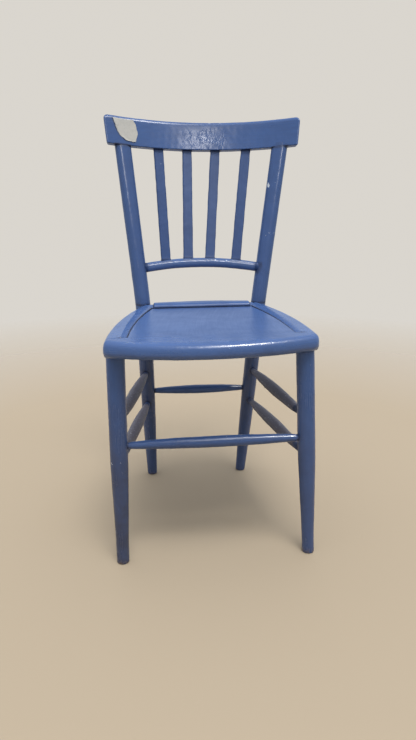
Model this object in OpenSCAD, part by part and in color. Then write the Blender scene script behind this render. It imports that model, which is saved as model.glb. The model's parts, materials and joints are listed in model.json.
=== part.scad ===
// Painted wooden side chair with a slatted back and a framed seat.
// Millimetres, +Z up, front of the chair towards -Y. The origin is on the floor, below the middle of the
// chair's bounding box.

/* [Seat] */
// Height of the seat's underside
seat_under_z = 414.5; // [400:0.5:430]
// Height of the seat's top at the front
seat_top_z = 446; // [440:1:450]
// How far the rails' top rises from front to back, in degrees
seat_rise = 1; // [0:0.1:1.5]
// How far the panel rises from front to back, in degrees
panel_rise = 0.25; // [0:0.05:1]
// Greatest half width of the seat
seat_half_w = 196.5; // [190:0.5:200]
// Furthest forward point of the seat, ahead of the front feet
seat_front_y = 60; // [50:1:64]
// Furthest back point of the seat, behind the front feet
seat_back_y = 363; // [358:1:368]
// Half width of the panel at the front
panel_half_w = 155; // [150:1:157]
// Line where the front rail ends and the panel begins, behind the front feet
panel_front_y = 8; // [4:1:12]
// Line where the panel ends and the back rail begins
panel_back_y = 313; // [308:1:318]
// Thickness of the panel
panel_t = 7; // [5:0.5:9]
// Height of the back rail's crown above the seat's top at the front
crown_h = 10.5; // [8:0.5:12]

/* [Legs] */
// Half distance between the front feet
front_foot_x = 185; // [180:1:190]
// How far forward the front feet are of the line that the other places are measured from
front_foot_y = -8; // [-12:1:0]
// Half distance between the tops of the front legs
front_top_x = 176; // [172:1:180]
// How far back the tops of the front legs are set
front_top_y = 16; // [10:1:20]
// Radius of a front leg at the top
front_leg_r = 17.2; // [16:0.1:18]
// Half distance between the back feet
back_foot_x = 116; // [110:1:120]
// How far the back feet are behind the front feet
back_foot_y = 386; // [380:1:395]
// Radius of a foot
foot_r = 12; // [10:0.5:14]

/* [Back] */
// Half distance between the back posts at the seat
knee_x = 138; // [134:1:142]
// How far the back posts are behind the front feet, at the seat
knee_y = 353; // [350:1:356]
// Height of the bend where the back leg becomes the post
knee_z = 450; // [446:1:454]
// Radius of a back post at the seat
post_r = 17.6; // [16:0.1:18]
// Half distance between the tops of the posts
post_top_x = 183; // [176:1:190]
// How far the tops of the posts are behind the front feet
post_top_y = 420; // [412:1:428]
// Height of the tops of the posts
post_top_z = 805; // [790:1:820]
// Depth of the posts at the top, front to back
post_top_depth = 23; // [20:1:26]

/* [Crest rail] */
// Length of the crest rail from end to end
crest_w = 452; // [430:1:460]
// Height of the crest rail
crest_h = 66; // [60:1:70]
// Thickness of the crest rail
crest_t = 22; // [20:1:26]
// Radius of the bend
crest_bend_r = 560; // [540:10:700]
// How much further back the crest rail leans than the posts, in degrees
crest_tilt = 2; // [0:0.5:4]
// How far each end slants in from top to bottom
crest_slant = 6; // [3:1:10]
// How far the crest rail's middle is to the right of the posts' middle
crest_shift = 2; // [0:0.5:4]

/* [Slats and lower rail] */
// Width of a slat
slat_w = 22.5; // [20:0.5:26]
// Thickness of a slat
slat_t = 9; // [7:0.5:11]
// Places of the slats along the crest rail, from its middle
slat_top_x = [-103.5, -35.5, 31.5, 104];
// Places of the slats along the lower rail, from its middle
slat_foot_x = [-78, -25.5, 25.5, 87];
// Height of the lower rail's ends
lower_rail_z = 530.5; // [526:0.5:542]
// Rise of the lower rail in the middle
lower_rail_rise = 13; // [6:1:16]
// How far the lower rail bows back in the middle
lower_rail_bow = 12; // [6:1:16]
// Height of the lower rail's section
lower_rail_h = 22; // [18:1:24]
// Thickness of the lower rail's section
lower_rail_t = 18; // [15:1:20]

/* [Stretchers] */
// Heights of the front stretcher, left and right
front_stretcher_z = [238, 241.5];
// Height of the rear stretcher
rear_stretcher_z = 231.5; // [228:0.5:242]
// Heights of the upper side stretchers, front and back
upper_stretcher_z = [282, 280.5];
// Heights of the lower side stretchers, front and back
lower_stretcher_z = [205.5, 201.5];
// Radius of every stretcher's tenon
tenon_r = 6; // [5:0.5:6.5]

/* [Racking] */
// How far the old frame leans to the right at the posts' tops
lean_top = 16; // [0:1:18]
// How far the back feet are out to the left
lean_foot = -4; // [-6:1:0]
// How far the front legs lean to the left from foot to seat
front_lean = 9; // [0:1:10]
// How far the right back leg is behind the middle of the two at the seat, and the left one ahead of it
knee_creep = 5; // [0:0.5:6]
// Creep of the seat to the right, for each millimetre back
seat_creep_x = 0.027; // [0:0.001:0.03]
// Creep of the seat's right side to the back, for each millimetre across
seat_creep_y = 0.055; // [0:0.001:0.06]

/* [Hidden] */
$fn = 64;

// Paint colours
paint = [0.30, 0.38, 0.58];
dark_wood = [0.30, 0.28, 0.31];
bare_wood = [0.72, 0.58, 0.42];
paper = [0.80, 0.81, 0.79];
steel = [0.55, 0.55, 0.56];

left = -1;
right = 1;
// Reach of the blocks that cut right through
clear = 400;

// ---- Points of the frame, in the frame of the front feet ----

function unit(v) = v / norm(v);
function mix(a, b, t) = a + (b - a) * t;

// Sideways creep of the seat at a distance back
function seat_shift(y) = -2.5 + seat_creep_x * y;
// A point of the seat's plan after the frame has racked
function racked(p) = [p.x + seat_shift(p.y), p.y + seat_creep_y * p.x];
function racked_all(points) = [for (p = points) racked(p)];

knee_lean = mix(lean_foot, lean_top, knee_z / post_top_z);

function front_foot(s) = [s * front_foot_x + front_lean / 2, front_foot_y, 0];
function front_top(s) = [s * front_top_x - front_lean / 2, front_top_y, seat_under_z];
function back_foot(s) = [s * back_foot_x + lean_foot, back_foot_y, 0];
function knee(s) = [s * knee_x + knee_lean, knee_y + s * knee_creep, knee_z];
function post_top(s) = [s * post_top_x + lean_top, post_top_y, post_top_z];

// Points on the legs' axes at a height
function on_front_leg(s, z) = mix(front_foot(s), front_top(s), z / seat_under_z);
function on_back_leg(s, z) = mix(back_foot(s), knee(s), z / knee_z);
function on_post(s, z) = mix(knee(s), post_top(s), (z - knee_z) / (post_top_z - knee_z));

crest_lean = atan2(post_top_y - knee_y, post_top_z - knee_z) + crest_tilt;
post_len = norm(post_top(right) - knee(right));
// Turn of each post about its own axis, so that it faces along the crest rail
post_turn = asin(post_top_x / crest_bend_r);
// Distance from the crest rail's centre of bend to the line of the posts
bend_to_posts = sqrt(pow(crest_bend_r, 2) - pow(post_top_x, 2));

front_edge_r = 480;
// The seat's front and the crest rail's back are the ends of the bounding box
front_most_y = -seat_front_y - front_edge_r * (sqrt(1 + pow(seat_creep_y, 2)) - 1);
back_round_r = 8;
back_most_y = post_top_y + back_round_r
    + (crest_bend_r + crest_t / 2 - back_round_r - bend_to_posts) * cos(crest_lean)
    + (crest_h - back_round_r) * sin(crest_lean);
// Middle of the bounding box in the frame of the front feet
middle_x = lean_top + crest_shift;
middle_y = (front_most_y + back_most_y) / 2;

// ---- Placing ----

// Moves the frame of the front feet to the chair's own origin
module set_down() {
    translate([-middle_x, -middle_y, 0]) children();
}

// Puts the Z axis on the line from p to q and keeps X level
module along(p, q) {
    d = unit(q - p);
    translate(p) rotate([-asin(d.y), atan2(d.x, d.z), 0]) children();
}

// The crest rail's frame: Z leans back with the posts, Y points to the back
module in_crest() {
    translate([lean_top + crest_shift, post_top_y, post_top_z]) rotate([-crest_lean, 0, 0]) children();
}

// The plane of the rails' top, which rises to the back
module in_seat_top() {
    translate([0, 0, seat_top_z]) rotate([seat_rise, 0, 0]) children();
}

// The plane that the panel is parallel to
module in_panel_top() {
    translate([0, 0, seat_top_z]) rotate([panel_rise, 0, 0]) children();
}

// A turned piece from a list of [distance along, radius]
module turned(profile) {
    last = len(profile) - 1;
    rotate_extrude()
        polygon(concat([[0, profile[0][0]]], [for (p = profile) [p[1], p[0]]], [[0, profile[last][0]]]));
}

// ---- Outlines of the seat in plan, before racking ----

side_edge_r = 1000;
side_edge_y = 10;
back_edge_r = 450;
panel_edge_r = 1250;
bevel_edge_r = 1500;
front_corner = 14;
back_corner = 15;

function edge_x(y, half_w, r, y_mid) = half_w - r + sqrt(r * r - pow(y - y_mid, 2));
function front_edge(x, inset) = front_edge_r - seat_front_y - sqrt(pow(front_edge_r - inset, 2) - x * x);
function back_edge(x, inset) = seat_back_y - back_edge_r + sqrt(pow(back_edge_r - inset, 2) - x * x);
function side_edge(y, inset) = edge_x(y, seat_half_w - inset, side_edge_r, side_edge_y);
// A quadratic curve round a corner
function bend(a, c, b, n) =
    [for (i = [1:n - 1]) let (t = i / n) (1 - t) * (1 - t) * a + 2 * t * (1 - t) * c + t * t * b];

// Half of the seat's outline from the front's middle to the back's middle
function half_outline(front_in, side_in) =
    let (
        w1 = side_edge(0, side_in) - front_corner,
        f1 = front_edge(w1, front_in) + front_corner + 4,
        w2 = side_edge(320, side_in) - back_corner,
        b1 = back_edge(w2, side_in) - back_corner - 4,
        fc = [side_edge(f1 - front_corner, side_in), front_edge(w1 + front_corner, front_in)],
        bc = [side_edge(b1 + back_corner, side_in), back_edge(w2 + back_corner, side_in)]
    )
    concat(
        [for (i = [0:5]) let (x = w1 * i / 5) [x, front_edge(x, front_in)]],
        bend([w1, front_edge(w1, front_in)], fc, [side_edge(f1, side_in), f1], 5),
        [for (i = [0:8]) let (y = mix(f1, b1, i / 8)) [side_edge(y, side_in), y]],
        bend([side_edge(b1, side_in), b1], bc, [w2, back_edge(w2, side_in)], 5),
        [for (i = [5:-1:0]) let (x = w2 * i / 5) [x, back_edge(x, side_in)]]
    );
function mirrored(points) = [for (i = [len(points) - 2:-1:1]) [-points[i].x, points[i].y]];
function outline(front_in, side_in) =
    let (half = half_outline(front_in, side_in)) racked_all(concat(half, mirrored(half)));

// The panel's sides, grown outwards, and its outline
function panel_side(y, grow) = edge_x(y, panel_half_w, panel_edge_r, panel_front_y) + grow;
function panel_outline() =
    let (
        n = 12,
        side = [for (i = [0:n]) let (y = mix(panel_front_y, panel_back_y, i / n)) [panel_side(y, 0), y]]
    )
    racked_all(concat(side, [for (i = [n:-1:0]) [-side[i].x, side[i].y]]));

// Outlines across the side rails' sloped inner bands: 0 is a band's upper edge and 1 is the panel's edge
band_half_w = 166.5;
function band_outline(across) =
    let (
        n = 10,
        side = [
            for (i = [0:n])
                let (
                    y = mix(panel_front_y - 6, seat_back_y + 6, i / n),
                    upper = edge_x(y, band_half_w, bevel_edge_r, panel_front_y)
                )
                [mix(upper, panel_side(y, 0), across), y]
        ]
    )
    racked_all(concat(side, [for (i = [n:-1:0]) [-side[i].x, side[i].y]]));

// ---- Seat ----

ledge_w = 10;
ledge_z = -1 - panel_t;
band_drop = 4.5;
// How far back the front rail reaches, below the panel and below the side rails
lap_y = 40;
// Top of the front rail's tongues below the side rails
lap_z = 430;
// Where the back rail meets the side rails
rail_joint_x = 113;
// Gap at the ends of the front rail's ledge
ledge_gap = 0.8;

// The whole seat as one block with rounded edges, solid from side to side
// Each row is [height, inset at the front, inset at the sides and back]
edge_rows = [[0, 14, 4], [2.5, 8, 2], [6, 3, 0.5], [12, 0, 0], [19, 0, 0]];
top_rows = [[-8, 2.2, 1], [-4, 6, 3], [-1.4, 12, 6.5], [0, 22, 12]];
module seat_block() {
    hull() {
        for (row = edge_rows)
            translate([0, 0, seat_under_z + row[0]])
                linear_extrude(height = 0.01) polygon(outline(row[1], row[2]));
        in_seat_top()
            for (row = top_rows)
                translate([0, 0, row[0] - 0.01])
                    linear_extrude(height = 0.01) polygon(outline(row[1], row[2]));
    }
}

// A racked block in plan from one corner to the other
module plan_block(x1, y1, x2, y2, height) {
    linear_extrude(height = height) polygon(racked_all([[x1, y1], [x2, y1], [x2, y2], [x1, y2]]));
}

// Space that belongs to the front rail: its ledge below the panel, and its tongues below the side rails
ledge_x = panel_half_w - ledge_w - ledge_gap;
module front_rail_space() {
    plan_block(-clear, -clear, clear, panel_front_y, 2 * clear);
    plan_block(-ledge_x, 0, ledge_x, lap_y, 2 * clear);
    plan_block(-clear, 0, clear, lap_y, lap_z);
}

// Space between the side rails that belongs to the back rail
module back_rail_space() {
    plan_block(-rail_joint_x, panel_back_y - ledge_w, rail_joint_x, clear, 2 * clear);
}

// Space on one side of the frame that belongs to a side rail
module side_rail_space(s) {
    n = 12;
    inner = [
        for (i = [0:n])
            let (y = mix(panel_front_y, seat_back_y + 20, i / n)) [s * panel_side(y, -ledge_w), y]
    ];
    linear_extrude(height = 2 * clear)
        polygon(racked_all(concat([[s * clear, panel_front_y]], inner, [[s * clear, seat_back_y + 20]])));
}

// The recess for the panel, above the ledge that it lies on
module panel_recess() {
    in_panel_top() translate([0, 0, ledge_z])
        linear_extrude(height = clear) polygon(panel_outline());
}

// Removes wood along the side rails' inner edges, sloping down to the panel
module band_cut() {
    hull() {
        in_seat_top() translate([0, 0, 0.5])
            linear_extrude(height = 0.01) polygon(band_outline(0));
        in_seat_top() translate([0, 0, -1.4 * band_drop])
            linear_extrude(height = 0.01) polygon(band_outline(1.4));
    }
}

// The bend is a little fuller than the post
knee_r = post_r + 0.5;
leg_tenon_r = 9;
leg_tenon_len = 26;
module leg_tenon(s) {
    along(front_top(s), front_top(s) + front_top(s) - front_foot(s))
        translate([0, 0, -1]) cylinder(h = leg_tenon_len + 1, r = leg_tenon_r);
}

// The stretch of the back leg that lies in the side rail's notch, up to the bend
module leg_at_seat(s) {
    along(knee(s), back_foot(s)) cylinder(h = 60, r = post_r);
    translate(knee(s)) sphere(r = knee_r);
}

module seat_front_rail() {
    color(paint) set_down() difference() {
        intersection() {
            seat_block();
            front_rail_space();
        }
        panel_recess();
        for (s = [left, right]) leg_tenon(s);
    }
}

module seat_side_rail(s) {
    color(paint) set_down() difference() {
        intersection() {
            seat_block();
            side_rail_space(s);
        }
        plan_block(-clear, 0, clear, lap_y, lap_z);
        back_rail_space();
        panel_recess();
        band_cut();
        leg_tenon(s);
        leg_at_seat(s);
        seat_dowel_set();
        screw(s);
    }
}

// The back rail is higher than the side rails and rounded across
// Each row is [height, inset at the back, inset behind the panel's edge]
crown_z = seat_top_z + crown_h - seat_under_z;
back_rail_rows = [
    [0, 8, -ledge_w], [4, 3, -ledge_w], [10, 0, -ledge_w], [crown_z - 10.5, 0, -ledge_w],
    [crown_z - 4.5, 4, -ledge_w], [crown_z - 1.5, 9, 5.4], [crown_z, 15, 8]
];
module back_rail_block() {
    n = 8;
    x2 = rail_joint_x;
    hull()
        for (row = back_rail_rows) {
            far = [for (i = [n:-1:0]) let (x = mix(-x2, x2, i / n)) [x, back_edge(x, row[1])]];
            near = panel_back_y + row[2];
            translate([0, 0, seat_under_z + row[0]]) linear_extrude(height = 0.01)
                polygon(racked_all(concat([[-x2, near], [x2, near]], far)));
        }
}

module seat_back_rail() {
    color(paint) set_down() difference() {
        back_rail_block();
        panel_recess();
        seat_dowel_set();
    }
}

module seat_panel() {
    color(paint) set_down() in_panel_top() translate([0, 0, ledge_z])
        linear_extrude(height = panel_t) polygon(panel_outline());
}

dowel_r = 4;
dowel_len = 32;
dowel_z = [424, 436];
module seat_dowel_set() {
    for (s = [left, right], z = dowel_z) {
        p = racked([s * rail_joint_x, 328]);
        translate([p.x, p.y, z]) rotate([0, 90, atan(seat_creep_y)])
            translate([0, 0, -dowel_len * (s > 0 ? 0.6 : 0.4)]) cylinder(h = dowel_len, r = dowel_r);
    }
}

module seat_dowels() {
    color(bare_wood) set_down() seat_dowel_set();
}

// Countersunk wood screw driven forward through the post into the side rail
screw_z = 434;
screw_r = 2.5;
screw_head_r = 4.6;
screw_head_h = 3.2;
screw_len = 50;
module screw(s) {
    p = on_back_leg(s, screw_z);
    translate([p.x, p.y + post_r - 1.6, p.z]) rotate([90, 0, 0]) {
        cylinder(h = screw_len, r = screw_r);
        cylinder(h = screw_head_h, r1 = screw_head_r, r2 = screw_r);
    }
}

// Slotted heads
module post_screws() {
    color(steel) set_down()
        for (s = [left, right]) {
            p = on_back_leg(s, screw_z);
            difference() {
                screw(s);
                translate([p.x, p.y + post_r - 1.6, p.z]) cube([20, 1.6, 1.1], center = true);
            }
        }
}

// ---- Legs and posts ----

// Each row is [height, radius]
front_leg_rows = [[45, 12.4], [80, 13.3], [115, 14.3], [150, 15.4], [185, 16.4], [220, 17]];
back_leg_rows = [[40, 13], [80, 14.2], [120, 15.3], [170, 16.5], [230, 17.3]];
foot_round = 2.5;

function leg_profile(rows, top_len, top_r) =
    concat([[-foot_round, foot_r - foot_round], [foot_round, foot_r]], rows, [[top_len, top_r]]);

module below_floor() {
    translate([-2 * clear, -2 * clear, -clear]) cube([4 * clear, 4 * clear, clear]);
}

module front_leg(s) {
    length = norm(front_top(s) - front_foot(s));
    color(paint) set_down() difference() {
        union() {
            difference() {
                along(front_foot(s), front_top(s)) turned(leg_profile(front_leg_rows, length + 5, front_leg_r));
                translate([-clear, -clear, seat_under_z]) cube(2 * clear);
            }
            leg_tenon(s);
        }
        below_floor();
        side_tenons(s);
        front_stretcher_body();
    }
}

// Depth from the post's axis to its front and back cheeks, which close in towards the top
module cheek_cuts(s) {
    along(knee(s), post_top(s)) rotate([0, 0, -s * post_turn])
        for (side = [left, right])
            translate([0, side * (post_r + 0.4), 0])
                rotate([side * atan((post_r + 0.4 - post_top_depth / 2) / post_len), 0, 0])
                    translate([-clear / 2, side > 0 ? 0 : -clear, -20]) cube([clear, clear, 2 * clear]);
}

post_tenon_r = 7;
post_tenon_len = 28;
module post_tenon(s) {
    along(post_top(s), 2 * post_top(s) - knee(s))
        translate([0, 0, -5]) cylinder(h = post_tenon_len + 5, r = post_tenon_r);
}

module back_post(s) {
    leg_len = norm(knee(s) - back_foot(s));
    color(paint) set_down() difference() {
        union() {
            along(back_foot(s), knee(s)) turned(leg_profile(concat(back_leg_rows, [[leg_len - 70, post_r]]),
                leg_len, post_r));
            translate(knee(s)) sphere(r = knee_r);
            difference() {
                along(knee(s), post_top(s)) turned([[0, post_r], [post_len + 20, post_r + 1]]);
                cheek_cuts(s);
                in_crest() translate([-clear, -clear, 0]) cube(2 * clear);
            }
            post_tenon(s);
        }
        below_floor();
        side_tenons(s);
        rear_stretcher_body();
        lower_rail_body();
        screw(s);
    }
}

// ---- Stretchers ----

// A rung from axis to axis, thin at its tenons and swelled in the middle
module rung(p, q, middle_r, flat) {
    length = norm(q - p);
    tenon = 17;
    steps = 8;
    swell = [
        for (i = [0:steps])
            let (t = i / steps) [mix(tenon + 2, length - tenon - 2, t),
                mix(tenon_r, middle_r, pow(sin(180 * t), flat))]
    ];
    along(p, q) turned(concat([[0, tenon_r]], swell, [[length, tenon_r]]));
}

module front_stretcher_body() {
    rung(on_front_leg(left, front_stretcher_z[0]), on_front_leg(right, front_stretcher_z[1]), 11, 0.6);
}

module rear_stretcher_body() {
    rung(on_back_leg(left, rear_stretcher_z), on_back_leg(right, rear_stretcher_z), 10.7, 0.8);
}

module side_stretcher_body(s, heights) {
    rung(on_front_leg(s, heights[0]), on_back_leg(s, heights[1]), 12.2, 0.9);
}

module side_tenons(s) {
    side_stretcher_body(s, upper_stretcher_z);
    side_stretcher_body(s, lower_stretcher_z);
}

module front_stretcher() {
    color(paint) set_down() front_stretcher_body();
}

module rear_stretcher() {
    color(paint) set_down() rear_stretcher_body();
}

module side_stretcher(s, heights) {
    color(dark_wood) set_down() side_stretcher_body(s, heights);
}

// ---- Back ----

// The crest rail's outline seen from the front
crest_corner_r = 10;
module crest_outline() {
    half = crest_w / 2;
    c = half - crest_corner_r;
    n = 6;
    corner = [
        for (i = [0:n])
            let (a = 90 * i / n) [c + crest_corner_r * cos(a), crest_h - crest_corner_r + crest_corner_r * sin(a)]
    ];
    side = concat([[half - crest_slant, 0]], corner);
    polygon(concat(side, [for (i = [len(side) - 1:-1:0]) [-side[i].x, side[i].y]]));
}

// The crest rail's section: rounded along the top, more at the front than at the back, and below at the back
front_round_r = 10.5;
low_round_r = 9;
module crest_section() {
    upper = crest_h - low_round_r;
    square([crest_t - low_round_r, crest_h - front_round_r]);
    translate([0, low_round_r]) square([crest_t, upper - front_round_r]);
    translate([crest_t - low_round_r, low_round_r]) circle(r = low_round_r);
    translate([front_round_r, low_round_r]) square([crest_t - front_round_r - back_round_r, upper]);
    translate([front_round_r, low_round_r]) square([crest_t - front_round_r, upper - back_round_r]);
    translate([front_round_r, crest_h - front_round_r]) circle(r = front_round_r);
    translate([crest_t - back_round_r, crest_h - back_round_r]) circle(r = back_round_r);
}

// A ring sector about the centre of the bend, symmetrical about X = 0
module bent(inner_r, half_angle) {
    translate([0, -bend_to_posts, 0]) rotate([0, 0, 90 - half_angle])
        rotate_extrude(angle = 2 * half_angle, $fn = 256) translate([inner_r, 0]) children();
}

module crest_rail() {
    color(paint) set_down() difference() {
        in_crest() intersection() {
            bent(crest_bend_r - crest_t / 2, 24) crest_section();
            translate([0, clear / 2, 0]) rotate([90, 0, 0]) linear_extrude(height = clear) crest_outline();
        }
        for (s = [left, right]) post_tenon(s);
        for (i = [0:3]) slat_body(i);
    }
}

// Foot and head of a slat on the middle lines of the two rails
lower_left = on_post(left, lower_rail_z);
lower_right = on_post(right, lower_rail_z);
lower_mid = (lower_left + lower_right) / 2;
lower_half = (lower_right.x - lower_left.x) / 2;
lower_sag = norm([lower_rail_rise, lower_rail_bow]);
lower_tilt = atan2(lower_rail_rise, lower_rail_bow);
lower_bend_r = (lower_half * lower_half + lower_sag * lower_sag) / (2 * lower_sag);

function bow(x, r, half) = sqrt(r * r - x * x) - sqrt(r * r - half * half);
function slat_foot(i) =
    let (b = bow(slat_foot_x[i], lower_bend_r, lower_half))
    [lower_mid.x - 5 + slat_foot_x[i], lower_mid.y + b * cos(lower_tilt), lower_mid.z + b * sin(lower_tilt)];
function slat_head(i) =
    let (b = bow(slat_top_x[i], crest_bend_r, post_top_x))
    [lean_top + crest_shift + slat_top_x[i], post_top_y + b * cos(crest_lean), post_top_z - b * sin(crest_lean)];

slat_tenon = 10;
module slat_body(i) {
    foot = slat_foot(i);
    head = slat_head(i);
    length = norm(head - foot);
    along(foot, head) rotate([0, 0, -asin(slat_top_x[i] / crest_bend_r)])
        translate([-slat_w / 2, -slat_t / 2, 0]) cube([slat_w, slat_t, length + slat_tenon]);
}

module back_slat(i) {
    color(paint) set_down() slat_body(i);
}

// The lower rail's section, rounded at its corners
module lower_section() {
    r = 6;
    for (x = [-1, 1], y = [-1, 1])
        translate([x * (lower_rail_t / 2 - r), y * (lower_rail_h / 2 - r)]) circle(r = r);
    square([lower_rail_t, lower_rail_h - 2 * r], center = true);
    square([lower_rail_t - 2 * r, lower_rail_h], center = true);
}

// An arc that bows back and up between the posts
module lower_rail_body() {
    reach = asin((lower_half - 4) / lower_bend_r);
    translate([lower_mid.x, lower_mid.y, lower_mid.z]) rotate([lower_tilt, 0, 0])
        translate([0, lower_sag - lower_bend_r, 0]) rotate([0, 0, 90 - reach])
            rotate_extrude(angle = 2 * reach, $fn = 256)
                translate([lower_bend_r, 0]) rotate(-lower_tilt) lower_section();
}

module lower_back_rail() {
    color(paint) set_down() difference() {
        lower_rail_body();
        for (i = [0:3]) slat_body(i);
    }
}

// ---- Label ----

// Torn paper on the front of the crest rail, from the middle of the rail and its lower edge
label_t = 0.4;
label_points = [
    [-205.5, 57], [-160.5, 57], [-154, 47.5], [-150, 28], [-155, 9],
    [-175.5, 11], [-188.5, 22], [-195.5, 33.5], [-200.5, 47.5]
];
module label_remnant() {
    color(paper) set_down() in_crest() intersection() {
        bent(crest_bend_r - crest_t / 2 - label_t, 24) square([label_t, crest_h]);
        translate([0, clear / 2, 0]) rotate([90, 0, 0]) linear_extrude(height = clear) polygon(label_points);
    }
}

crest_rail();
lower_back_rail();
back_slat(0);  // back_slat_1
back_slat(1);  // back_slat_2
back_slat(2);  // back_slat_3
back_slat(3);  // back_slat_4
back_post(left);  // back_post_left
back_post(right);  // back_post_right
front_leg(left);  // front_leg_left
front_leg(right);  // front_leg_right
seat_front_rail();
seat_side_rail(left);  // seat_side_rail_left
seat_side_rail(right);  // seat_side_rail_right
seat_back_rail();
seat_panel();
front_stretcher();
rear_stretcher();
side_stretcher(left, upper_stretcher_z);  // upper_stretcher_left
side_stretcher(right, upper_stretcher_z);  // upper_stretcher_right
side_stretcher(left, lower_stretcher_z);  // lower_stretcher_left
side_stretcher(right, lower_stretcher_z);  // lower_stretcher_right
seat_dowels();
post_screws();
label_remnant();
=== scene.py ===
"""Old painted side chair: smooth surfaces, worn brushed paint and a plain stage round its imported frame.

Metres, +Z up, front of the chair towards -Y. Shapes are worked out in the frame of the front feet and then
moved to the chair's own origin. Every new piece is a grid of points made with numpy.
"""

import json  # noqa: E402
import math  # noqa: E402

import bpy  # noqa: E402
import numpy as np  # noqa: E402
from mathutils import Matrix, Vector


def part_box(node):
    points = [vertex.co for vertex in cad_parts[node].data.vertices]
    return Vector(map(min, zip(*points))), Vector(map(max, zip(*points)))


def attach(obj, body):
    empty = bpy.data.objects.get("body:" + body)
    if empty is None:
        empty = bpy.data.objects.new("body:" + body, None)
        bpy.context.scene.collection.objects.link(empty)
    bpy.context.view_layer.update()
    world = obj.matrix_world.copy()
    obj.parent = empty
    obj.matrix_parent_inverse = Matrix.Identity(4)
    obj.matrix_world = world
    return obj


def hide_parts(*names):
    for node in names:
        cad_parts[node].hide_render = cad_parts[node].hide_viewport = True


bl_info = {
    "name": "Old Painted Side Chair",
    "version": (1, 0, 0),
    "blender": (4, 5, 0),
    "location": "View3D > Sidebar > Chair",
    "description": "Surfaces, paint, wear and stage of an old painted side chair",
    "category": "Add Mesh",
}

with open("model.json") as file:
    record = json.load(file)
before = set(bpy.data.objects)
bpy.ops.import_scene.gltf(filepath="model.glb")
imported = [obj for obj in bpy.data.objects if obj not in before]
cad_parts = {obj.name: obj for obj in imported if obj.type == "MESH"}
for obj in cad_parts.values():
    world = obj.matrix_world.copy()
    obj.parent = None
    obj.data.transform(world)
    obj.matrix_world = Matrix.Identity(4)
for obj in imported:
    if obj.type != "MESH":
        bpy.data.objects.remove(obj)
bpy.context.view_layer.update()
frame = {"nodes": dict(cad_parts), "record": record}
MM = 0.001
LEFT, RIGHT = -1, 1
SIDES = {"left": LEFT, "right": RIGHT}
QUARTER_TURN = math.pi / 2
FULL_TURN = 2.0 * math.pi
FOOT = frame["record"]["mounts"][0]["pos_m"]
SEAT_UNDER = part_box("seat_front_rail")[0].z


# ---- Settings ----


def length(name, description, default):
    """A length setting in metres."""
    return bpy.props.FloatProperty(
        name=name, description=description, default=default, unit="LENGTH", precision=4
    )


def angle(name, description, degrees):
    """An angle setting."""
    return bpy.props.FloatProperty(
        name=name, description=description, default=math.radians(degrees), subtype="ANGLE"
    )


def share(name, description, default):
    """A plain number setting."""
    return bpy.props.FloatProperty(name=name, description=description, default=default, precision=3)


def power(name, description, default):
    """A lamp's power in watts."""
    return bpy.props.FloatProperty(name=name, description=description, default=default, unit="POWER")


def colour(name, description, default):
    """A linear colour setting."""
    return bpy.props.FloatVectorProperty(
        name=name, description=description, default=default, size=3, subtype="COLOR", min=0.0, max=1.0
    )


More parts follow.
